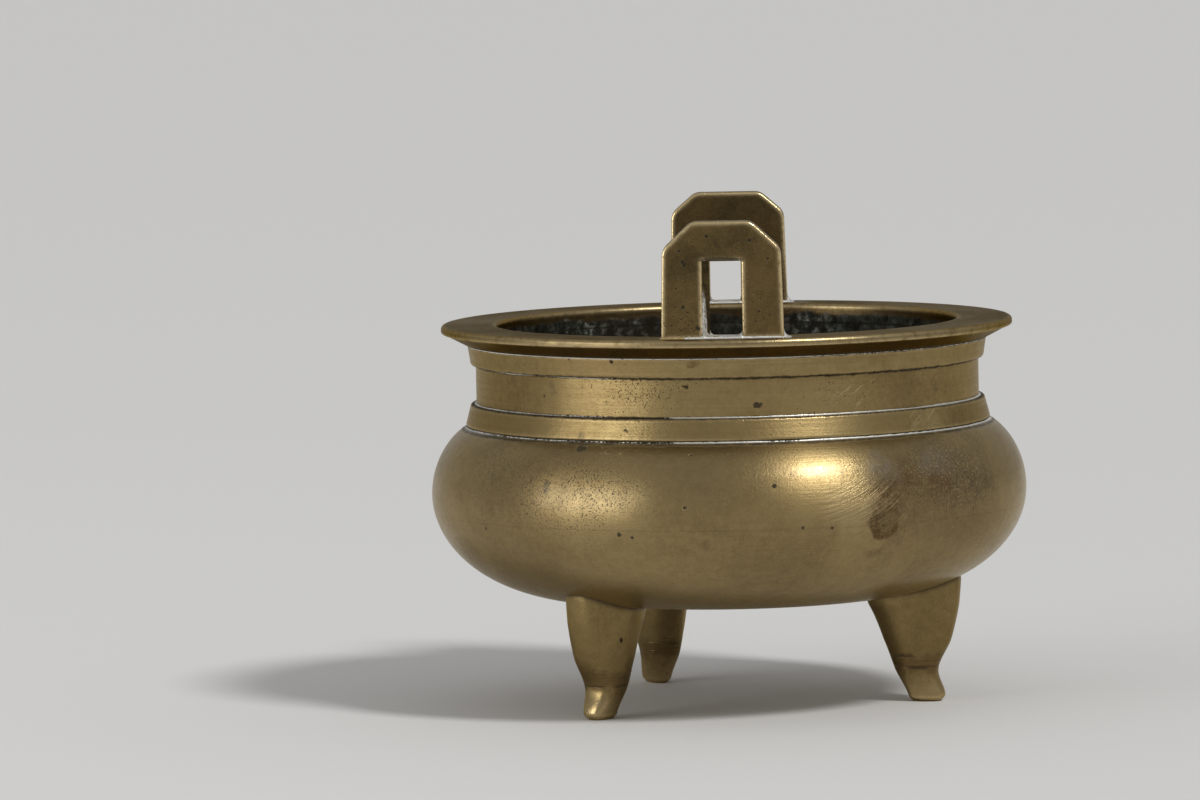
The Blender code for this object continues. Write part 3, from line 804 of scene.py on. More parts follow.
def brass_finish(name, lines=0.5, line_pitch=2600.0, pits=0.3, specks=0.3, film=0.5, shine=1.0, base=BRASS,
                 deep=BRASS_DEEP, tint=BRASS_TINT, brushed=0.0, wax=0.0, speck_grain=1900.0, speck_gain=0.45,
                 seams=(), dark_spots=(), stains=(), speck_patches=(), line_patches=(), scratches=(),
                 residue=(), extra=None):
    """Aged brass: brown film, turning lines, pits, bright edges, grime at the seams and marks of use, with
    some painted shade and highlight.

    Lists of placed marks are as marked() takes them. The extra is a function that adds what one piece has.
    """
    finish, tree, shader = new_finish(name)
    rings = between(tree, use(tree, TURNING_LINES, Lines_per_Metre=line_pitch)[0], 0.36, 0.64)
    line_depth = lines
    if line_patches:
        line_depth = plus(tree, times(tree, marked(tree, line_patches, 0.9), LINE_PATCH_GAIN), lines)
    rings = times(tree, rings, line_depth)
    speck_amount = specks
    if speck_patches:
        speck_amount = plus(tree, times(tree, marked(tree, speck_patches, 0.8), speck_gain), specks)
    fine_specks = use(tree, SPECKS, Specks_per_Metre=speck_grain, Amount=speck_amount)[0]
    dark = either(tree, times(tree, fine_specks, SPECK_SHADE), use(tree, PITS, Amount=pits)[0])
    for level, reach, ragged in seams:
        dark = either(tree, dark, use(tree, SEAM_GRIME, Level=level, Reach=reach, Ragged=ragged)[0])
    if dark_spots:
        dark = either(tree, dark, marked(tree, dark_spots))
    tarnish = use(tree, TARNISH, Amount=film)
    bright = use(tree, WORN_AND_HIGHLIT_EDGES, Strength=shine)[0]
    colour = blend(tree, tarnish["Film"], base, deep)
    colour = blend(tree, times(tree, rings, LINE_SHADE), colour, deep)
    for tone, depth, softness, spots in stains:
        broken = times(tree, marked(tree, spots, softness), use(tree, BREAKUP)[0])
        colour = blend(tree, times(tree, broken, depth), colour, tone)
    if scratches:
        thin = times(tree, use(tree, SLANTING_SCRATCHES)[0], marked(tree, scratches, 0.6))
        colour = blend(tree, times(tree, thin, SCRATCH_SHINE), colour, BRASS_BRIGHT)
    # Bright edges: wear, and on the handles painted highlight as well
    colour = blend(tree, bright, colour, BRASS_BRIGHT)
    height = plus(tree, times(tree, rings, LINE_RELIEF), times(tree, tarnish["Mottle"], MOTTLE_RELIEF))
    height = plus(tree, height, times(tree, tarnish["Grain"], GRAIN_RELIEF))
    height = minus(tree, height, times(tree, dark, GRIME_AND_SHADE_RELIEF))
    rough = plus(tree, times(tree, tarnish["Film"], FILM_ROUGHNESS), CLEAN_ROUGHNESS)
    rough = plus(tree, rough, times(tree, rings, LINE_ROUGHNESS))
    rough = minus(tree, rough, times(tree, bright, WORN_SMOOTHNESS))
    rough = plus(tree, rough, times(tree, dark, GRIME_AND_SHADE_ROUGHNESS))
    if extra:
        colour, rough, height, dark = extra(tree, colour, rough, height, dark)
    # Dark marks turn towards grime: pits, specks and seam grime, and also the painted shade of the handles'
    # lintel and the legs' ankle creases
    colour = blend(tree, times(tree, dark, GRIME_AND_SHADE_DEPTH), colour, GRIME_AND_SHADE)
    dull = times(tree, dark, GRIME_AND_SHADE_DULLNESS)
    if residue:
        white = times(tree, marked(tree, residue, 0.25), use(tree, BREAKUP, Least=0.8)[0])
        colour = blend(tree, white, colour, SOLDER_PALE)
        dull = either(tree, dull, white)
    feed(tree, shader.inputs["Base Color"], colour)
    feed(tree, shader.inputs["Roughness"], rough)
    feed(tree, shader.inputs["Metallic"], minus(tree, 1.0, dull))
    shader.inputs["Specular IOR Level"].default_value = 0.2
    shader.inputs["Specular Tint"].default_value = (*tint, 1.0)
    shader.inputs["Coat Weight"].default_value = wax
    shader.inputs["Coat Roughness"].default_value = 0.22
    add_relief(tree, shader, height, strength=0.6, depth=0.00012)
    if brushed:
        shader.inputs["Anisotropic"].default_value = brushed
        shader.inputs["Anisotropic Rotation"].default_value = 0.25
        around = node(tree, "ShaderNodeTangent", direction_type="RADIAL", axis="Z")
        feed(tree, shader.inputs["Tangent"], around.outputs[0])
    return finish


def add_relief(tree, shader, height, strength, depth):
    bump = node(tree, "ShaderNodeBump")
    bump.inputs["Strength"].default_value = strength
    bump.inputs["Distance"].default_value = depth
    feed(tree, bump.inputs["Height"], height)
    feed(tree, shader.inputs["Normal"], bump.outputs[0])


def bowl_crust(tree):
    """The crust inside the bowl, with its pale patches, the larger one partly painted light."""
    return use(tree, CRUST, Pale=marked(tree, LIT_PALE_CRUST, 0.7))


def crust_finish(name):
    finish, tree, shader = new_finish(name)
    crust = bowl_crust(tree)
    feed(tree, shader.inputs["Base Color"], crust["Color"])
    feed(tree, shader.inputs["Roughness"], between(tree, crust["Height"], 0.3, 0.7, 0.55, 0.9))
    shader.inputs["Metallic"].default_value = 0.15
    add_relief(tree, shader, crust["Height"], strength=0.9, depth=0.0004)
    return finish


def solder_finish(name, dull):
    """Silvery solder, granular in places, that shows another colour where it has sunk or worn away, and
    where painted shade lowers its share.
    """
    finish, tree, shader = new_finish(name)
    place = place_of(tree)
    grains = cloud(tree, place, 2200.0, 3.0, 0.65)
    breaks = between(tree, cloud(tree, place, 160.0, 4.0, 0.6), 0.30, 0.52, 0.65, 1.0)
    clean_and_lit = times(tree, stored(tree, "clean_and_lit"), breaks)
    level = minus(tree, 0.66, times(tree, clean_and_lit, 0.46))
    colour = blend(tree, between(tree, grains, 0.28, 0.52), SOLDER_DARK, SOLDER_PALE)
    colour = blend(tree, between(tree, grains, level, plus(tree, level, 0.10)), dull, colour)
    feed(tree, shader.inputs["Base Color"], colour)
    feed(tree, shader.inputs["Roughness"], between(tree, grains, 0.3, 0.7, 0.55, 0.36))
    shader.inputs["Metallic"].default_value = 0.8
    add_relief(tree, shader, grains, strength=0.5, depth=0.00008)
    return finish


# The bowl

def shoulder_reach(share):
    """Radius of the belly's outside at a share of the way from its widest point up to the shoulder."""
    return BELLY_RADIUS - (BELLY_RADIUS - SHOULDER_RADIUS) * shoulder_inset(share, SHOULDER_FULLNESS)


def belly_radius(height):
    if height < BELLY_MIDDLE:
        down = (BELLY_MIDDLE - height) / BELLY_LOWER_HEIGHT
        return FLOOR_RADIUS + UNDERSIDE_SWELL * math.sqrt(1.0 - down ** 2)
    return shoulder_reach((height - BELLY_MIDDLE) / BELLY_UPPER_HEIGHT)


def at_belly(azimuth, height):
    """A point on the belly's outside."""
    return on_bowl(azimuth, height, belly_radius(height))


def at_neck(azimuth, height):
    return on_bowl(azimuth, height, NECK_RADIUS)


def at_lower_band(azimuth, height):
    return on_bowl(azimuth, height, LOWER_BAND_RADIUS)


# Shapes of placed marks, as how fast each axis counts towards their size
UPRIGHT = (1.0, 1.0, 0.5)
ROUND = (1.0, 1.0, 1.0)
FLAT = (1.0, 1.0, 1.8)
PIT_RAGGED = 0.60
# Paler crust; the larger patch, on the far wall where light falls in through the mouth, is partly painted
# light
LIT_PALE_CRUST = [(on_bowl(-150.0, 0.0930, MOUTH_RADIUS), ROUND, 0.0190, 0.50),
              (on_bowl(160.0, 0.0915, MOUTH_RADIUS), ROUND, 0.0075, 0.60)]

# Azimuth, height and size of single pits on the belly
BELLY_PITS = (
    (9.3, 0.0631, 0.0006),
    (-7.6, 0.0580, 0.0005),
    (-20.7, 0.0509, 0.0006),
    (-18.1, 0.0502, 0.0004),
    (-53.8, 0.0506, 0.0004),
    (20.4, 0.0518, 0.0004),
    (14.6, 0.0522, 0.0004),
)
BELLY_DARK_SPOTS = [(at_belly(-31.3, 0.0722), FLAT, 0.0017, 0.40),
                    (at_belly(-6.8, 0.0710), FLAT, 0.0005, PIT_RAGGED)]
for pit_azimuth, pit_height, pit_size in BELLY_PITS:
    BELLY_DARK_SPOTS.append((at_belly(pit_azimuth, pit_height), ROUND, pit_size, PIT_RAGGED))
# Each stain is its colour, depth, softness and places. The ring lies in two coats, so that few gaps show.
RING_STAIN = (RING_BROWN, 1.00, 0.12, [(at_belly(31.4, 0.0524), ROUND, 0.0044, 0.24)])
BELLY_STAINS = [
    (STAIN_FILM, 0.62, 0.75, [(at_belly(51.0, 0.0585), FLAT, 0.0170, 0.75)]),
    (STAIN_FILM, 0.85, 0.60, [(at_belly(33.5, 0.0580), UPRIGHT, 0.0064, 0.80)]),
    (STAIN_RUST, 0.80, 0.60, [(at_belly(36.5, 0.0628), FLAT, 0.0046, 1.00),
                              (at_belly(45.0, 0.0622), FLAT, 0.0050, 1.00)]),
    (HAZE, 0.60, 0.80, [(at_belly(32.0, 0.0658), ROUND, 0.0040, 0.80),
                        (at_belly(46.0, 0.0668), FLAT, 0.0055, 0.80)]),
    (RING_BROWN, 0.90, 0.50, [(at_belly(32.0, 0.0592), UPRIGHT, 0.0034, 1.00)]),
    (STAIN_BROWN, 0.60, 0.60, [(at_belly(58.0, 0.0605), FLAT, 0.0060, 1.00)]),
    RING_STAIN,
    RING_STAIN,
    (BRASS_DEEP, 0.90, 0.25, [(at_belly(32.2, 0.0528), ROUND, 0.0030, 0.40)]),
    (STAIN_BROWN, 0.45, 0.45, [(at_belly(30.6, 0.0443), FLAT, 0.0022, 0.60),
                               (at_belly(-3.7, 0.0482), UPRIGHT, 0.0009, 0.60)]),
    (STAIN_GREY, 0.80, 0.20, [(at_belly(-36.7, 0.0626), UPRIGHT, 0.0010, 0.25)]),
]
BELLY_SPECK_PATCHES = [(at_belly(-34.0, 0.0628), FLAT, 0.0220, 0.40),
                       (at_belly(-52.0, 0.0630), ROUND, 0.0120, 0.60),
                       (at_belly(48.0, 0.0645), FLAT, 0.0180, 0.60),
                       (at_belly(30.0, 0.0530), ROUND, 0.0030, 0.50)]
BELLY_LINE_PATCHES = [(at_belly(17.0, 0.0560), FLAT, 0.0190, 0.30)]
PALE_GRIT = [(at_belly(50.0, 0.0650), FLAT, 0.0150, 0.60)]
# The scrubbed patch, with scratches that curve round a centre above it
SCRUB_PATCH = [(at_belly(27.0, 0.0578), FLAT, 0.0105, 0.25)]
SCRUB_CENTRE = on_bowl(14.0, 0.0940, BELLY_RADIUS)
SCRUB_LINES_PER_METRE = 2900.0
SCRUB_BREAKS_PER_METRE = 60.0
SCRUB_SHINE = 0.36
SCRUB_RELIEF = 0.26
GRIT_SHINE = 0.45
TURNED_LINE_REACH = 0.00026
TURNED_LINE_RAGGED = 0.0004
TURNED_LINE_DEPTH = 0.15
# Level, reach and raggedness of the grime along each seam
BELLY_SEAMS = [(SHOULDER_LEVEL - 0.0003, 0.0005, 0.0003)]


def scrubbed(tree, colour, rough, height, dark):
    """Curved scratches by the stain, pale grit, a faint turned line, and dirt round the legs."""
    place = place_of(tree)
    reach = node(tree, "ShaderNodeVectorMath", operation="DISTANCE")
    feed(tree, reach.inputs[0], place)
    reach.inputs[1].default_value = SCRUB_CENTRE
    lay = node(tree, "ShaderNodeCombineXYZ")
    feed(tree, lay.inputs[0], times(tree, reach.outputs["Value"], SCRUB_LINES_PER_METRE))
    feed(tree, lay.inputs[1], times(tree, parts_of(tree, place)[0], SCRUB_BREAKS_PER_METRE))
    scratches = between(tree, cloud(tree, lay.outputs[0], 1.0, 3.0, 0.6), 0.42, 0.62)
    scratches = times(tree, scratches, marked(tree, SCRUB_PATCH, 0.6))
    colour = blend(tree, times(tree, scratches, SCRUB_SHINE), colour, BRASS_BRIGHT)
    height = plus(tree, height, times(tree, scratches, SCRUB_RELIEF))
    grains = between(tree, cloud(tree, place, 1700.0, 2.0, 0.6), 0.56, 0.66)
    grains = times(tree, grains, marked(tree, PALE_GRIT, 0.8))
    colour = blend(tree, times(tree, grains, GRIT_SHINE), colour, BRASS_BRIGHT)
    line = use(tree, SEAM_GRIME, Level=TURNED_LINE, Reach=TURNED_LINE_REACH, Ragged=TURNED_LINE_RAGGED)[0]
    height = minus(tree, height, times(tree, line, TURNED_LINE_DEPTH))
    colour = blend(tree, times(tree, line, TURNED_LINE_DEPTH), colour, STAIN_BROWN)
    broken = between(tree, cloud(tree, place, 420.0, 4.0, 0.65), 0.30, 0.62, 0.35, 1.0)
    return colour, rough, height, either(tree, dark, times(tree, stored(tree, "seam_dirt"), broken))


def make_belly():
    inside = belly_inside()
    outside = belly_outside()

    def unevenness(index, place):
        if index < len(inside) - 1:
            return ripple(place, CRUST_RIPPLE, depth=0.00018, seed=3.0)
        return ripple(place, CAST_RIPPLE, depth=0.00011, seed=7.0)

    mesh = turned("belly", inside + outside, False, unevenness=unevenness)
    mark_wear(mesh)
    mark_seams(mesh)
    finish = brass_finish("belly brass", lines=0.5, pits=0.10, specks=0.42, film=0.90, brushed=0.70,
                          wax=0.32, speck_grain=2400.0, speck_gain=0.75, seams=BELLY_SEAMS,
                          dark_spots=BELLY_DARK_SPOTS, stains=BELLY_STAINS,
                          speck_patches=BELLY_SPECK_PATCHES, line_patches=BELLY_LINE_PATCHES,
                          extra=scrubbed)
    add_piece("bowl_belly", mesh, [finish, crust_finish("bowl crust")], "aged_brass", "belly")
    paint_inside(mesh, len(inside))


def mark_seams(mesh):
    """Stores how close each point of the belly is to the joint of a leg."""
    corners = np.empty(len(mesh.vertices) * 3)
    mesh.vertices.foreach_get("co", corners)
    corners = corners.reshape(-1, 3)
    dirt = np.zeros(len(corners))
    for azimuth in LEG_AZIMUTHS.values():
        turn = turn_to(azimuth)
        for k in range(LEG_SIDES):
            side = math.tau * k / LEG_SIDES
            root = np.array(turn @ leg_point(leg_top(side), side))
            away = np.linalg.norm(corners - root, axis=1)
            dirt = np.maximum(dirt, np.exp(-((away / SEAM_DIRT_REACH) ** 2)))
    store(mesh, "seam_dirt", dirt)


def paint_inside(mesh, inner_rings):
    """Gives the faces of the first rings the second finish."""
    last = inner_rings * TURN_STEPS
    for face in mesh.polygons:
        if max(face.vertices) < last:
            face.material_index = 1


NECK_DARK_SPOTS = [(at_neck(7.5, 0.0830), FLAT, 0.0014, 0.55),
                   (at_neck(-8.4, 0.0880), FLAT, 0.0009, 0.90)]
NECK_STAINS = [
    (STAIN_FILM, 0.50, 0.80, [(at_neck(50.0, 0.0850), FLAT, 0.0150, 0.60),
                              (at_neck(-56.0, 0.0850), ROUND, 0.0120, 0.50)]),
    (STAIN_GREY, 0.45, 0.50, [(at_neck(-42.1, 0.0870), ROUND, 0.0016, 0.90),
                              (at_neck(55.6, 0.0844), UPRIGHT, 0.0008, 0.60)]),
]
NECK_SPECK_PATCHES = [(at_neck(-18.0, 0.0872), FLAT, 0.0110, 0.50),
                      (at_neck(28.0, 0.0860), FLAT, 0.0100, 0.60)]
NECK_SCRATCHES = [(at_neck(31.0, 0.0850), FLAT, 0.0060, 0.60)]
NECK_SEAMS = [(UPPER_BAND_BOTTOM, 0.0006, 0.0005), (LOWER_BAND_TOP, 0.0006, 0.0005)]
# Turning lines per metre on the neck and the hoops, coarse enough to be seen
COARSE_LINES = 1500.0


def make_neck():
    inside = neck_inside()
    outside = neck_outside()

    def unevenness(index, place):
        if STEP_POINTS < index < len(inside) - STEP_POINTS:
            return ripple(place, CRUST_RIPPLE, depth=0.00015, seed=5.0)
        return ripple(place, CAST_RIPPLE, depth=0.00005, seed=9.0)

    mesh = turned("neck", inside + outside, True, unevenness=unevenness)
    mark_wear(mesh)
    finish = brass_finish("neck brass", lines=1.1, line_pitch=COARSE_LINES, pits=0.14, specks=0.40, film=0.8,
                          brushed=0.5, seams=NECK_SEAMS, dark_spots=NECK_DARK_SPOTS, stains=NECK_STAINS,
                          speck_patches=NECK_SPECK_PATCHES, scratches=NECK_SCRATCHES)
    add_piece("neck_tube", mesh, [finish, crust_finish("neck crust")], "aged_brass", "neck")
    paint_inside(mesh, len(inside))


BAND_DARK_SPOTS = [(at_lower_band(-21.8, 0.0770), ROUND, 0.0007, 0.60),
                   (at_lower_band(-18.0, 0.0762), ROUND, 0.0004, 0.60),
                   (at_lower_band(-33.4, 0.0785), ROUND, 0.0004, 0.60),
                   (on_bowl(-25.0, RIM_UNDERSIDE - 0.0010, UPPER_BAND_RADIUS), ROUND, 0.0005, 0.60)]
BAND_STAINS = [
    (STAIN_FILM, 0.55, 0.80, [(at_lower_band(64.0, 0.0770), FLAT, 0.0100, 0.60)]),
    (BRASS_BRIGHT, 0.30, 0.50, [(at_lower_band(50.0, 0.0775), FLAT, 0.0060, 1.00)]),
    (STAIN_BROWN, 0.80, 0.50,
     [(on_bowl(-6.3, RIM_UNDERSIDE - 0.0014, UPPER_BAND_RADIUS), FLAT, 0.0016, 0.90)]),
    (STAIN_GREY, 0.90, 0.30, [(at_lower_band(-32.5, 0.0752), ROUND, 0.0011, 0.35)]),
]
BAND_SCRATCHES = [(at_lower_band(52.0, 0.0775), FLAT, 0.0090, 0.60)]
LOWER_BAND_SEAMS = [(LOWER_BAND_TOP, 0.0004, 0.0004), (SHOULDER_LEVEL, 0.0008, 0.0005)]
UPPER_BAND_SEAMS = [(RIM_UNDERSIDE, 0.0005, 0.0004), (UPPER_BAND_BOTTOM, 0.0004, 0.0004)]
# Bends at which a hoop's edge starts to brighten and is bright, in radians per metre
BAND_WEAR = (500.0, 3000.0)


def make_bands():
    for node_name, outline, seams in (("lower_band", lower_band_outline(), LOWER_BAND_SEAMS),
                                      ("upper_band", upper_band_outline(), UPPER_BAND_SEAMS)):
        mesh = turned(node_name, outline, True)
        mark_wear(mesh, *BAND_WEAR)
        finish = brass_finish(node_name.replace("_", " ") + " brass", lines=1.0, line_pitch=COARSE_LINES,
                              pits=0.12, specks=0.40, film=0.8, brushed=0.5, seams=seams, shine=0.5,
                              dark_spots=BAND_DARK_SPOTS, stains=BAND_STAINS, scratches=BAND_SCRATCHES)
        add_piece(node_name + "_hoop", mesh, [finish], "aged_brass", node_name)


# Levels in the rim's bore at which the brown film and the crust start and are full
BORE_BROWN = (RIM_TOP - 0.0006, RIM_TOP - 0.0026)
BORE_CRUST = (RIM_TOP - 0.0018, RIM_TOP - 0.0034)
BORE_EDGE = 0.0004
BORE_STREAKS = 0.004
BORE_FILM = 0.75
BORE_ROUGHNESS = 0.4
BORE_RELIEF = 2.0
BORE_SHADE = 0.35


def rim_bore_crust(tree, colour, rough, height, dark):
    """Crust on the rim's bore, starting a little under its inner edge."""
    place = place_of(tree)
    radius = length_of(tree, stretch(tree, place, (1.0, 1.0, 0.0)))
    in_bore = maths(tree, "LESS_THAN", radius, MOUTH_RADIUS + BORE_EDGE)
    streaks = cloud(tree, stretch(tree, place, (1.0, 1.0, 0.3)), 150.0, 5.0, 0.6)
    level = plus(tree, parts_of(tree, place)[2], times(tree, minus(tree, streaks, 0.5), BORE_STREAKS))
    brown = times(tree, in_bore, between(tree, level, *BORE_BROWN))
    colour = blend(tree, times(tree, brown, BORE_FILM), colour, STAIN_BROWN)
    share = times(tree, in_bore, between(tree, level, *BORE_CRUST))
    crust = bowl_crust(tree)
    colour = blend(tree, share, colour, crust["Color"])
    rough = plus(tree, rough, times(tree, share, BORE_ROUGHNESS))
    height = plus(tree, height, times(tree, times(tree, share, crust["Height"]), BORE_RELIEF))
    return colour, rough, height, either(tree, dark, times(tree, share, BORE_SHADE))


RIM_STAINS = [(SOLDER_PALE, 0.65, 0.60,
               [(on_bowl(164.0, RIM_TOP, HANDLE_CIRCLE_RADIUS), ROUND, 0.0034, 0.90)])]
RIM_SEAMS = [(RIM_UNDERSIDE, 0.0005, 0.0004)]


def make_rim():
    mesh = turned("rim", rim_outline(), True)
    mark_wear(mesh)
    finish = brass_finish("rim brass", lines=0.6, pits=0.10, specks=0.34, film=1.2, shine=0.75,
                          base=RIM_BRASS, deep=RIM_BROWN, tint=RIM_TINT, brushed=0.4, seams=RIM_SEAMS,
                          stains=RIM_STAINS, extra=rim_bore_crust)
    add_piece("flared_rim", mesh, [finish], "worn_brass", "rim")


# Solder in the corners of the hoops

def shoulder_surface(radius):
    """Height of the shoulder's surface at a radius."""
    if radius <= SHOULDER_RADIUS:
        return SHOULDER_LEVEL
    share = halved(0.0, 1.0, lambda share: shoulder_reach(share) > radius)
    return BELLY_MIDDLE + BELLY_UPPER_HEIGHT * share


# Share of bright solder left along each line round the bowl, at azimuths from the near handle towards +X,
# lowered in places as painted shade
# The rim line's lower share past 14 degrees, round its right, is painted shade
RIM_LINE = ((-180, 0.5), (-90, 0.9), (14, 0.9), (30, 0.5), (180, 0.5))
# The upper line is dull from -22 to 90 degrees
UPPER_LINE = ((-180, 0.4), (-80, 0.8), (-60, 1.0), (-31, 0.9), (-22, 0.1), (90, 0.1), (180, 0.4))
LOWER_LINE = ((-180, 0.6), (-75, 0.85), (-45, 0.65), (-28, 0.45), (-24, 0.12), (-14, 0.12), (-10, 0.9),
              (80, 1.0), (180, 0.6))
SHOULDER_LINE = ((-180, 0.7), (-72, 0.6), (-37, 0.5), (-33, 0.3), (-13, 0.35), (-8, 1.0), (7, 1.0),
                 (10, 0.5), (14, 0.5), (17, 1.0), (90, 1.0), (180, 0.7))
# Share of bright solder left along the handles' feet, at distances across from their middle
NEAR_FOOT_LINE = ((-0.016, 0.1), (-0.0105, 0.15), (-0.0090, 0.8), (0.016, 1.0))
FAR_FOOT_LINE = ((-0.016, 1.0), (0.016, 0.7))
# How often the beads swell round the bowl: slowly, in rough stretches and in fine lumps
SLOW_LUMPS = 5.0
ROUGH_STRETCHES = 2.2
FINE_LUMPS = 45.0
# Shares of a bead's size: its mean, its slow swell, its fine lumps where even and where rough, and its least
MEAN_BEAD = 0.85
SLOW_SWELL = 0.45
EVEN_LUMP = 0.08
ROUGH_LUMP = 0.5
THINNEST_BEAD = 0.35
DULL_BEAD = 0.65
BEAD_FULLNESS = 0.98
BEAD_LIFT = 0.00003
BEAD_ROOT = (0.0003, 0.0001)


def share_along(line, position):
    return float(np.interp(position, [knot[0] for knot in line], [knot[1] for knot in line]))


def solder_bead(name, corner, upward, wall_reach, ledge_reach, ledge_height, line, seed):
    """An uneven fillet in a corner: up or down the wall, and out along the ledge."""
    verts = []
    clean_and_lit = []
    ring_size = ROUND_STEPS + 2
    for k in range(BEAD_STEPS):
        angle = math.tau * k / BEAD_STEPS
        around = Vector((math.cos(angle), math.sin(angle), 0.0))
        share = share_along(line, math.degrees(math.atan2(around.x, -around.y)))
        clean_and_lit += [share] * ring_size
        slow = noise.noise(around * SLOW_LUMPS + Vector((seed, 0.0, 0.0)))
        rough = max(0.0, noise.noise(around * ROUGH_STRETCHES + Vector((seed, 2.0, 0.0))))
        fine = noise.noise(around * FINE_LUMPS + Vector((seed, 4.0, 0.0)))
        lump = MEAN_BEAD + SLOW_SWELL * slow + share * (EVEN_LUMP + ROUGH_LUMP * rough) * fine
        lump = max(lump, THINNEST_BEAD) * (DULL_BEAD + (1.0 - DULL_BEAD) * share)
        wall = wall_reach * lump
        ledge = ledge_reach * lump
        section = []
        for turn in quarter_turn(ROUND_STEPS):
            radius = corner[0] + ledge * (1.0 - math.cos(turn))
            rise = wall * (1.0 - math.sin(turn)) * BEAD_FULLNESS + BEAD_LIFT
            section.append((radius, ledge_height(radius) + upward * rise))
        inward, under = BEAD_ROOT
        section.append((corner[0] - inward, ledge_height(corner[0]) - upward * under))
        for radius, height in section:
            verts.append((radius * around.x, radius * around.y, height))
    mesh = new_mesh(name, verts, rings_joined(BEAD_STEPS, ring_size, True))
    store(mesh, "clean_and_lit", clean_and_lit)
    tidy(mesh)
    return mesh


def make_beads(finish):
    # Corner, side of the ledge, reach up the wall and along the ledge, the ledge's surface, line and seed
    beads = (
        ("rim_solder_bead", (UPPER_BAND_RADIUS, RIM_UNDERSIDE), -1, 0.00032, 0.00036,
         lambda radius: RIM_UNDERSIDE, RIM_LINE, 1.0),
        ("upper_band_solder_bead", (NECK_RADIUS, UPPER_BAND_BOTTOM), -1, 0.00030, 0.00044,
         lambda radius: UPPER_BAND_BOTTOM, UPPER_LINE, 2.0),
        ("lower_band_solder_bead", (NECK_RADIUS, LOWER_BAND_TOP), 1, 0.00042, 0.00070,
         lambda radius: LOWER_BAND_TOP, LOWER_LINE, 3.0),
        ("shoulder_solder_bead", (LOWER_BAND_RADIUS, SHOULDER_LEVEL), 1, 0.00046, 0.00046,
         shoulder_surface, SHOULDER_LINE, 4.0),
    )
    for name, *shape in beads:
        add_piece(name + "_line", solder_bead(name, *shape), [finish], "solder", name)


# Loop handles
HANDLE_THICKNESS = 0.0060
HANDLE_HALF_DEPTH = HANDLE_THICKNESS / 2.0
HANDLE_HALF_TOP = 0.01515
SLOT_WIDTH = 0.0101
SLOT_HALF_WIDTH = SLOT_WIDTH / 2.0
SLOT_HEIGHT = 0.0198
SLOT_DRAFT = 0.0018
HANDLE_EDGE = 0.00055
HANDLE_CORNER = 0.0040
SLOT_CORNER = 0.0004
HANDLE_LIFT = 0.00003
NEAR_CHAMFER = (0.0075, 0.0070)
FAR_CHAMFER = (0.0064, 0.0055)


def rounded(corners):
    """A closed outline from (across, up, round) corners, with each corner cut to an arc of that size."""
    points = []
    count = len(corners)
    for i, (across, up, size) in enumerate(corners):
        here = Vector((across, up))
        if size <= 0.0:
            points.append(here)
            continue
        before = (Vector(corners[i - 1][:2]) - here).normalized()
        after = (Vector(corners[(i + 1) % count][:2]) - here).normalized()
        half = before.angle(after) / 2.0
        run = size / math.tan(half)
        centre = here + (before + after).normalized() * (size / math.sin(half))
        start = here + before * run - centre
        sweep = start.angle_signed(here + after * run - centre)
        for k in range(ROUND_STEPS + 1):
            turn = -sweep * k / ROUND_STEPS
            spoke = Vector((start.x * math.cos(turn) - start.y * math.sin(turn),
                            start.x * math.sin(turn) + start.y * math.cos(turn)))
            points.append(centre + spoke)
    return points


def handle_outline(chamfer, draft):
    """One face of a handle, anticlockwise from the right foot, with the slot open to the rim."""
    foot = RIM_TOP + HANDLE_LIFT
    top = HANDLE_TOP
    slot_top = RIM_TOP + SLOT_HEIGHT
    wide, high = chamfer
    return rounded([
        (HANDLE_HALF_BASE, foot, 0.0),
        (HANDLE_HALF_TOP, top - high, HANDLE_CORNER),
        (HANDLE_HALF_TOP - wide, top, HANDLE_CORNER),
        (wide - HANDLE_HALF_TOP, top, HANDLE_CORNER),
        (-HANDLE_HALF_TOP, top - high, HANDLE_CORNER),
        (-HANDLE_HALF_BASE, foot, 0.0),
        (draft - SLOT_HALF_WIDTH, foot, 0.0),
        (draft - SLOT_HALF_WIDTH, slot_top, SLOT_CORNER),
        (SLOT_HALF_WIDTH, slot_top, SLOT_CORNER),
        (SLOT_HALF_WIDTH, foot, 0.0),
    ])


def drawn_in(points, inset):
    """The outline moved inwards by an inset."""
    moved = []
    count = len(points)
    for i, here in enumerate(points):
        back = (here - points[i - 1]).normalized()
        ahead = (points[(i + 1) % count] - here).normalized()
        left = Vector((-back.y - ahead.y, back.x + ahead.x)).normalized()
        widen = max(0.5, left.dot(Vector((-back.y, back.x))))
        moved.append(here + left * (inset / widen))
    return moved


def handle_mesh(name, chamfer):
    """A plate with softly rounded edges, standing at the origin with its outer face at -Y."""
    outer = handle_outline(chamfer, 0.0)
    inner = handle_outline(chamfer, SLOT_DRAFT)
    loops = []
    for face, points in ((-1, outer), (1, inner)):
        sections = [(edges * HANDLE_EDGE, HANDLE_HALF_DEPTH) for edges in (3.0, 2.0)]
        for turn in quarter_turn(ROUND_STEPS - 1):
            depth = HANDLE_HALF_DEPTH - HANDLE_EDGE * (1.0 - math.cos(turn))
            sections.append((HANDLE_EDGE * (1.0 - math.sin(turn)), depth))
        sections += [(0.0, HANDLE_HALF_DEPTH - edges * HANDLE_EDGE) for edges in (2.0, 3.0)]
        rings = [[(p.x, face * depth, p.y) for p in drawn_in(points, inset)] for inset, depth in sections]
        loops += rings if face < 0 else list(reversed(rings))
    count = len(outer)
    verts = [point for ring in loops for point in ring]
    ends = [list(range(count)), list(range((len(loops) - 1) * count, len(loops) * count))]
    return new_mesh(name, verts, ends + rings_joined(len(loops), count))


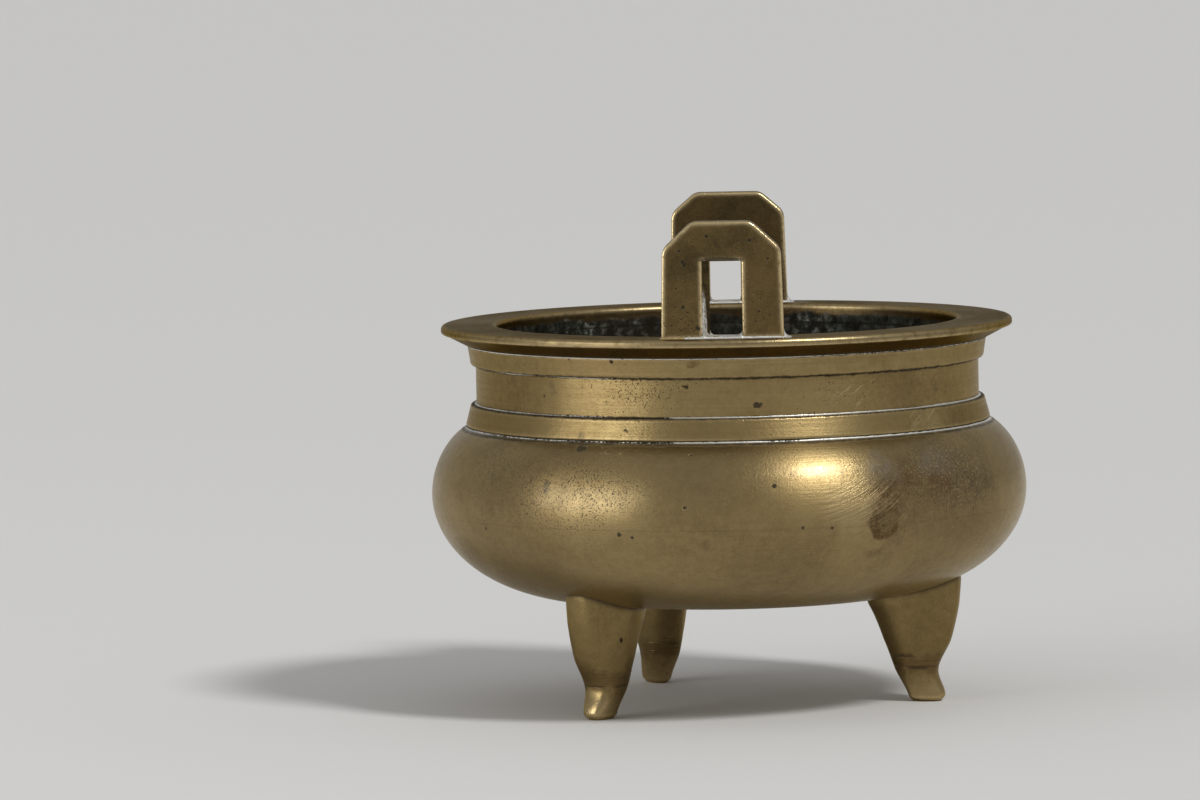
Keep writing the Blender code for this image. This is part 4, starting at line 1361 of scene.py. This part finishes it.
def stand_on_rim(mesh, half_turn):
    """Moves what was made at the origin to the near handle's place, or half a turn on to the far one's."""
    spot = Matrix.Translation((0.0, -HANDLE_CIRCLE_RADIUS, 0.0))
    mesh.transform(Matrix.Rotation(math.pi if half_turn else 0.0, 4, "Z") @ spot)
    tidy(mesh)


def on_handle(across, up, deep=0.0):
    """A point on the near handle: across from its middle, up from the rim and deep from its middle plane."""
    return (across, deep - HANDLE_CIRCLE_RADIUS, RIM_TOP + up)


SLOT_WALL_SHAPE = (4.0, 1.35, 0.7)
SLOT_WEDGE_SHAPE = (9.0, 4.2, 1.0)
LINTEL_SHAPE = (0.14, 0.40, 1.0)
HANDLE_STAINS_AND_SLOT_SHADE = [
    (STAIN_BROWN, 0.55, 0.60, [(on_handle(-0.0105, 0.0190), ROUND, 0.0030, 0.90),
                               (on_handle(0.0045, 0.0265), FLAT, 0.0050, 0.95)]),
    # Painted shade: the slot's left wall darkened towards the back of the slot
    (GRIME_AND_SHADE, 0.92, 0.40, [(on_handle(-0.0040, 0.0150, 0.0012), SLOT_WALL_SHAPE, 0.0058, 0.30),
                         (on_handle(-0.0040, 0.0080, 0.0012), SLOT_WALL_SHAPE, 0.0050, 0.60)]),
]
SLOT_RESIDUE = [(on_handle(-0.0046, 0.0030, -0.0016), SLOT_WEDGE_SHAPE, 0.0085, 0.30)]
# Distance from the middle, height over the rim and size of single pits on the near handle's face
HANDLE_PITS = (
    (-0.0100, 0.0197, 0.0006),
    (-0.0095, 0.0190, 0.0005),
    (-0.0108, 0.0225, 0.0004),
    (0.0072, 0.0251, 0.0005),
    (0.0118, 0.0203, 0.0004),
    (-0.0100, 0.0082, 0.0005),
    (-0.0089, 0.0068, 0.0003),
    (-0.0063, 0.0028, 0.0007),
    (-0.0037, 0.0262, 0.0005),
    (0.0094, 0.0068, 0.0003),
    (-0.0117, 0.0129, 0.0003),
)
HANDLE_FACE = -HANDLE_HALF_DEPTH
# Painted shade: a dark strip along the slot's top edge, under the lintel
LINTEL_EDGE = on_handle(0.0, SLOT_HEIGHT + 0.0003, HANDLE_FACE)
HANDLE_PITS_AND_SHADE = [(LINTEL_EDGE, LINTEL_SHAPE, 0.0008, 0.40)]
for pit_across, pit_up, pit_size in HANDLE_PITS:
    HANDLE_PITS_AND_SHADE.append((on_handle(pit_across, pit_up, HANDLE_FACE), ROUND, pit_size, PIT_RAGGED))
HANDLE_SPECK_PATCHES = [(on_handle(-0.0090, 0.0050), ROUND, 0.0060, 0.60),
                        (on_handle(-0.0090, 0.0180), UPRIGHT, 0.0040, 0.60),
                        (on_handle(0.0085, 0.0110), UPRIGHT, 0.0035, 0.60),
                        (on_handle(0.0060, 0.0240), FLAT, 0.0060, 0.60)]


def make_handles():
    # The handles' edge shine of 1.4 is wear raised further as painted highlight
    finish = brass_finish("handle brass", lines=0.2, pits=0.36, specks=0.56, film=1.1, base=BRASS_DEEP,
                          deep=HANDLE_BROWN, speck_grain=1250.0, shine=1.4, dark_spots=HANDLE_PITS_AND_SHADE,
                          stains=HANDLE_STAINS_AND_SLOT_SHADE, speck_patches=HANDLE_SPECK_PATCHES, residue=SLOT_RESIDUE)
    for node_name, chamfer, half_turn in (("near_handle", NEAR_CHAMFER, False),
                                          ("far_handle", FAR_CHAMFER, True)):
        mesh = handle_mesh(node_name, chamfer)
        stand_on_rim(mesh, half_turn)
        mark_wear(mesh)
        piece = add_piece(node_name + "_loop", mesh, [finish], "worn_brass", node_name)
        piece.modifiers.new("flat_faces", "WEIGHTED_NORMAL").keep_sharp = True


# Solder round the handles' feet
SILL_HEIGHT = 0.0006
SILL_FILLET = 0.0013
SILL_CLEAN = 0.6
FOOT_FILLET = 0.0006
FOOT_FLARE = 0.0019
SOLDER_STEP = 0.0003
FILLET_STEPS = 6
FOOT_LUMP_SIZE = 0.0022
FOOT_LUMP_DEPTH = 0.5
SEED_STEP = 0.01
FOOT_SPREAD = 0.8
SOLDER_LIFT = 0.00002
SOLDER_BASE = 0.00001
SOLDER_ROOT = 0.0004
# How squarely a direction points out of a face, or out of the flared end, to belong to it
FACING_OUT = 0.9
FACING_FLARE = 0.3
SILL_GRID = (36, 12)
SILL_LUMP_SIZE = 0.0012
SILL_LUMP_DEPTH = 0.00008


def sill_rise(across, draft):
    """Height of the solder in the slot, with a fillet up to each post."""
    away = min(SLOT_HALF_WIDTH - across, across + SLOT_HALF_WIDTH - draft)
    if away >= SILL_FILLET:
        return SILL_HEIGHT
    sunk = SILL_FILLET - max(away, 0.0)
    return SILL_HEIGHT + SILL_FILLET - math.sqrt(SILL_FILLET ** 2 - sunk ** 2)


def solder_path():
    """Points round a handle's base and their outward directions, anticlockwise from the front left."""
    corners = [Vector((across * HANDLE_HALF_BASE, deep * HANDLE_HALF_DEPTH))
               for across, deep in ((-1, -1), (1, -1), (1, 1), (-1, 1))]
    path = []
    for i, start in enumerate(corners):
        stop = corners[(i + 1) % 4]
        along = (stop - start).normalized()
        out = Vector((along.y, -along.x))
        for k in range(1, ROUND_STEPS):
            path.append((start, (-along).lerp(out, k / ROUND_STEPS).normalized()))
        count = int((stop - start).length / SOLDER_STEP)
        for k in range(count + 1):
            path.append((start.lerp(stop, k / count), out))
    return path


def handle_solder_mesh(name, flare_side, line, seed):
    """An uneven fillet round a handle's base, and the sill between its posts."""
    verts = []
    clean_and_lit = []
    path = solder_path()
    ring_size = FILLET_STEPS + 2
    for spot, out in path:
        lump_place = Vector((spot.x, spot.y, seed * SEED_STEP)) / FOOT_LUMP_SIZE
        lump = 1.0 + FOOT_LUMP_DEPTH * noise.noise(lump_place)
        draft = 0.0 if spot.y < 0.0 else SLOT_DRAFT
        in_slot = draft - SLOT_HALF_WIDTH < spot.x < SLOT_HALF_WIDTH and abs(out.y) > FACING_OUT
        rise = sill_rise(spot.x, draft) if in_slot else FOOT_FILLET * lump
        reach = FOOT_SPREAD * FOOT_FILLET * lump
        if out.x * flare_side > FACING_FLARE:
            flare = (FOOT_FLARE - FOOT_FILLET) * out.x * flare_side
            rise += flare
            reach += flare
        for turn in quarter_turn(FILLET_STEPS):
            place = spot + out * (reach * (1.0 - math.cos(turn)) - SOLDER_LIFT)
            verts.append((place.x, place.y, RIM_TOP + SOLDER_LIFT + rise * (1.0 - math.sin(turn))))
        inner = spot - out * SOLDER_ROOT
        verts.append((inner.x, inner.y, RIM_TOP + SOLDER_BASE))
        clean_and_lit += [share_along(line, spot.x)] * ring_size
    faces = rings_joined(len(path), ring_size, True)
    add_sill(verts, faces, seed)
    clean_and_lit += [SILL_CLEAN] * (len(verts) - len(clean_and_lit))
    mesh = new_mesh(name, verts, faces)
    store(mesh, "clean_and_lit", clean_and_lit)
    return mesh


def add_sill(verts, faces, seed):
    """A closed pad of solder between the posts, its top following the sill."""
    across_steps, deep_steps = SILL_GRID
    layers = []
    for top in (True, False):
        grid = []
        for i in range(deep_steps + 1):
            deep = i / deep_steps
            draft = SLOT_DRAFT * deep
            row = []
            for k in range(across_steps + 1):
                across = draft - SLOT_HALF_WIDTH + (SLOT_WIDTH - draft) * k / across_steps
                rise = SOLDER_BASE
                if top:
                    spot = Vector((across, deep * HANDLE_THICKNESS, seed))
                    rise = sill_rise(across, draft) + SILL_LUMP_DEPTH * noise.noise(spot / SILL_LUMP_SIZE)
                row.append(len(verts))
                verts.append((across, (2.0 * deep - 1.0) * HANDLE_HALF_DEPTH, RIM_TOP + rise))
            grid.append(row)
        layers.append(grid)
    upper, lower = layers
    for i in range(deep_steps):
        for k in range(across_steps):
            faces.append((upper[i][k], upper[i][k + 1], upper[i + 1][k + 1], upper[i + 1][k]))
            faces.append((lower[i][k], lower[i + 1][k], lower[i + 1][k + 1], lower[i][k + 1]))
    edge = [(0, k) for k in range(across_steps)]
    edge += [(i, across_steps) for i in range(deep_steps)]
    edge += [(deep_steps, k) for k in range(across_steps, 0, -1)]
    edge += [(i, 0) for i in range(deep_steps, 0, -1)]
    for (i, k), (m, n) in zip(edge, edge[1:] + edge[:1]):
        faces.append((upper[i][k], lower[i][k], lower[m][n], upper[m][n]))


def make_handle_solder(finish):
    for node_name, half_turn, flare_side, line, seed in (("near_handle", False, 1.0, NEAR_FOOT_LINE, 2.0),
                                                         ("far_handle", True, -1.0, FAR_FOOT_LINE, 5.0)):
        mesh = handle_solder_mesh(node_name + "_solder", flare_side, line, seed)
        stand_on_rim(mesh, half_turn)
        add_piece(node_name + "_solder_fillet", mesh, [finish], "solder", node_name + "_solder")


# Cast legs

def leg_mesh(name):
    """A cast leg at +X, fitted to the belly, with a softened top edge and a flat sole."""
    shares = [(1.0 - LEG_TOP_EDGE) * (r / LEG_RINGS) ** LEG_RING_CROWDING for r in range(LEG_RINGS)] + [1.0]
    rings = []
    for share in shares:
        ring = []
        for k in range(LEG_SIDES):
            side = math.tau * k / LEG_SIDES
            top = leg_top(side)
            point = leg_point(top * share, side)
            if share == 1.0:
                middle = leg_point(top, side + math.pi)
                point = point.lerp(Vector((middle.x, middle.y, point.z)), LEG_TOP_EDGE)
            ring.append(point)
        rings.append(ring)
    verts = [point for ring in rings for point in ring]
    faces = rings_joined(len(rings), LEG_SIDES)
    faces.append(list(range(LEG_SIDES)))
    crown = len(verts)
    heart = sum(rings[-1], Vector()) / LEG_SIDES
    heart.z = underside_level(heart.x) - LEG_GAP
    verts.append(heart)
    for k in range(LEG_SIDES):
        faces.append((LEG_RINGS * LEG_SIDES + k, LEG_RINGS * LEG_SIDES + (k + 1) % LEG_SIDES, crown))
    mesh = new_mesh(name, verts, faces)
    tops = np.array([point.z for point in rings[-1]])
    below = np.concatenate([tops - [point.z for point in ring] for ring in rings] + [[0.0]])
    store(mesh, "seam_dirt", np.exp(-((below / SEAM_DIRT_REACH) ** 2)))
    return mesh


# Levels at which the toes' polish and the ankles' brown start and are full
TOE_POLISH = (0.0085, 0.0015)
ANKLE_TOP = (0.0140, 0.0110)
ANKLE_FOOT = (0.0068, 0.0088)
# How ragged, bright, brown, deep or dark those marks are; the creases' darkening is painted shade
TOE_RAGGED = 0.008
TOE_SHINE = 0.30
TOE_SMOOTHNESS = 0.08
ANKLE_BROWN = 0.60
CREASES_PER_METRE = (70.0, 70.0, 1100.0)
CREASE_RELIEF = 0.7
CREASE_PAINTED_SHADE = 0.75
LEG_SEAM_SHADE = 0.8


def polished_toes(tree, colour, rough, height, dark):
    """Toes rubbed bright, brown creases round the ankles whose darkness is painted shade, and dirt at the
    joint with the belly.
    """
    place = place_of(tree)
    ragged = times(tree, minus(tree, cloud(tree, place, 260.0, 4.0, 0.6), 0.5), TOE_RAGGED)
    level = plus(tree, parts_of(tree, place)[2], ragged)
    low = between(tree, level, *TOE_POLISH)
    colour = blend(tree, times(tree, low, TOE_SHINE), colour, BRASS_BRIGHT)
    ankle = times(tree, between(tree, level, *ANKLE_TOP), between(tree, level, *ANKLE_FOOT))
    colour = blend(tree, times(tree, ankle, ANKLE_BROWN), colour, STAIN_FILM)
    creases = cloud(tree, stretch(tree, place, CREASES_PER_METRE), 1.0, 3.0, 0.6)
    creases = times(tree, between(tree, creases, 0.51, 0.64), ankle)
    height = minus(tree, height, times(tree, creases, CREASE_RELIEF))
    dark = either(tree, dark, times(tree, creases, CREASE_PAINTED_SHADE))
    rough = minus(tree, rough, times(tree, low, TOE_SMOOTHNESS))
    seam = times(tree, stored(tree, "seam_dirt"), LEG_SEAM_SHADE)
    return colour, rough, height, either(tree, dark, seam)


def on_leg(node_name, height, side):
    """A point on a leg's skin, at an angle in degrees from its outer side."""
    return tuple(turn_to(LEG_AZIMUTHS[node_name]) @ leg_point(height, math.radians(side)))


LEG_DARK_SPOTS = [(on_leg("front_left_leg", 0.0208, 86.0), ROUND, 0.0006, 0.40)]


def make_legs():
    finish = brass_finish("leg brass", lines=0.3, pits=0.14, specks=0.40, film=1.0, shine=0.9,
                          base=LEG_BRASS, dark_spots=LEG_DARK_SPOTS, extra=polished_toes)
    for node_name, azimuth in LEG_AZIMUTHS.items():
        mesh = leg_mesh(node_name)
        mesh.transform(turn_to(azimuth))
        tidy(mesh)
        mark_wear(mesh)
        add_piece(node_name + "_cast", mesh, [finish], "leg_brass", node_name)


# Rivets
RIVET_INSET = 0.0033
RIVET_CIRCLE_RADIUS = FOOT_CIRCLE_RADIUS - RIVET_INSET
RIVET_RADIUS = 0.0016
RIVET_REACH = 0.0085
RIVET_HEAD_RADIUS = 0.0032
RIVET_HEAD_HEIGHT = 0.0015
RIVET_DOME_SHARE = 0.75
RIVET_HEAD_FOOT = 0.97
RIVET_SEAT_GAP = 0.0001
RIVET_STEPS = 40


def rivet_stand():
    """Level of the belly's outside on the rivet's line, that line's lean, and the wall's depth along it."""
    across = (RIVET_CIRCLE_RADIUS - FLOOR_RADIUS) / UNDERSIDE_SWELL
    down = math.sqrt(1.0 - across ** 2)
    lean = math.atan2(across / UNDERSIDE_SWELL, down / BELLY_LOWER_HEIGHT)
    level = BELLY_MIDDLE - BELLY_LOWER_HEIGHT * down
    inner_across = (RIVET_CIRCLE_RADIUS - FLOOR_RADIUS) / (UNDERSIDE_SWELL - BELLY_WALL)
    inner_down = math.sqrt(1.0 - inner_across ** 2)
    inner_level = BELLY_MIDDLE - (BELLY_LOWER_HEIGHT - FLOOR_THICKNESS) * inner_down
    return level, lean, (inner_level - level) / math.cos(lean)


def make_rivets():
    finish = brass_finish("rivet brass", lines=0.1, pits=0.20, specks=0.50, film=1.3, shine=0.2,
                          base=HANDLE_BROWN, deep=CRUST_BLACK)
    level, lean, wall = rivet_stand()
    top = wall + RIVET_HEAD_HEIGHT
    seat = wall + RIVET_SEAT_GAP
    dome = RIVET_HEAD_HEIGHT * RIVET_DOME_SHARE
    outline = [(0.0, top)]
    outline += arc((0.0, top - dome), RIVET_HEAD_RADIUS, dome, 90.0, 0.0, 2 * ROUND_STEPS)[1:]
    outline += [(RIVET_HEAD_RADIUS * RIVET_HEAD_FOOT, seat), (RIVET_RADIUS, seat)]
    outline += [(RIVET_RADIUS, -RIVET_REACH), (0.0, -RIVET_REACH)]
    for leg, azimuth in LEG_AZIMUTHS.items():
        mesh = turned(leg + "_rivet", outline, False, RIVET_STEPS)
        stand = Matrix.Translation((RIVET_CIRCLE_RADIUS, 0.0, level)) @ Matrix.Rotation(-lean, 4, "Y")
        mesh.transform(turn_to(azimuth) @ stand)
        mark_wear(mesh)
        add_piece(leg + "_rivet_head", mesh, [finish], "rivet_brass", leg + "_rivet")


# Studio
FLOOR_HALF = 9.0
PAPER_SHADE = (0.66, 0.655, 0.64)
PAPER_LIGHT = (0.72, 0.715, 0.70)
PAPER_ROUGHNESS = 0.85
FIBRES_PER_METRE = 900.0
WORLD_STRENGTH = 0.42
PIECE_MIDDLE = (0.0, 0.0, 0.06)
KEY_PLACE = (0.55, -0.55, 0.90)
KEY_STRENGTH = 1.7
KEY_SPREAD = math.radians(11.0)
SOFTBOX_PLACE = (-1.34, -0.87, 0.38)
SOFTBOX_STRENGTH = 7.6
SOFTBOX_WIDTH = 1.05
SOFTBOX_HEIGHT = 0.66


def make_floor():
    corners = [(x * FLOOR_HALF, y * FLOOR_HALF, 0.0) for x, y in ((-1, -1), (1, -1), (1, 1), (-1, 1))]
    floor = new_mesh("studio_floor", corners, [(0, 1, 2, 3)])
    finish, tree, shader = new_finish("studio paper")
    fibres = cloud(tree, place_of(tree), FIBRES_PER_METRE, 4.0, 0.6)
    feed(tree, shader.inputs["Base Color"], blend(tree, fibres, PAPER_SHADE, PAPER_LIGHT))
    shader.inputs["Roughness"].default_value = PAPER_ROUGHNESS
    floor.materials.append(finish)
    piece = placed("studio_floor", floor)


def add_lamp(name, kind, place, strength, **settings):
    lamp = bpy.data.lights.new(name, kind)
    lamp.energy = strength
    for key, value in settings.items():
        setattr(lamp, key, value)
    holder = placed(name, lamp)
    holder.location = place
    holder.rotation_euler = (Vector(PIECE_MIDDLE) - Vector(place)).to_track_quat("-Z", "Y").to_euler()


def make_light():
    world = bpy.data.worlds.new("studio")
    world.use_nodes = True
    background = world.node_tree.nodes["Background"]
    background.inputs["Color"].default_value = (1.0, 1.0, 1.0, 1.0)
    background.inputs["Strength"].default_value = WORLD_STRENGTH
    bpy.context.scene.world = world
    add_lamp("key", "SUN", KEY_PLACE, KEY_STRENGTH, angle=KEY_SPREAD)
    add_lamp("left_softbox", "AREA", SOFTBOX_PLACE, SOFTBOX_STRENGTH, shape="RECTANGLE",
             size=SOFTBOX_WIDTH, size_y=SOFTBOX_HEIGHT)


def make_camera():
    focal_pixels = 9202.8
    photo_width = 1200.0
    sensor = 36.0
    distance = 2.412
    height = 0.2678
    azimuth = math.radians(0.79)
    heading = math.radians(1.587)
    pitch = math.radians(4.453)
    roll = math.radians(-1.1)
    lens = bpy.data.cameras.new("camera")
    lens.sensor_fit = "HORIZONTAL"
    lens.sensor_width = sensor
    lens.lens = focal_pixels * sensor / photo_width
    lens.clip_start = 0.05
    lens.clip_end = 60.0
    right = Vector((math.cos(heading), math.sin(heading), 0.0))
    ahead = Vector((-math.sin(heading) * math.cos(pitch), math.cos(heading) * math.cos(pitch),
                    -math.sin(pitch)))
    up = right.cross(ahead)
    rolled_right = right * math.cos(roll) + up * math.sin(roll)
    rolled_up = up * math.cos(roll) - right * math.sin(roll)
    turn = Matrix((rolled_right, rolled_up, -ahead)).transposed()
    spot = Matrix.Translation((distance * math.sin(azimuth), -distance * math.cos(azimuth), height))
    holder = placed("camera", lens)
    holder.matrix_world = spot @ turn.to_4x4()
    bpy.context.scene.camera = holder


make_belly()
make_neck()
make_bands()
make_rim()
make_handles()
make_legs()
make_rivets()
make_beads(solder_finish("hoop solder", SOLDER_DULL_AND_SHADE))
make_handle_solder(solder_finish("handle solder", BRASS))
make_floor()
make_light()
make_camera()
bpy.context.scene.view_settings.view_transform = "Standard"
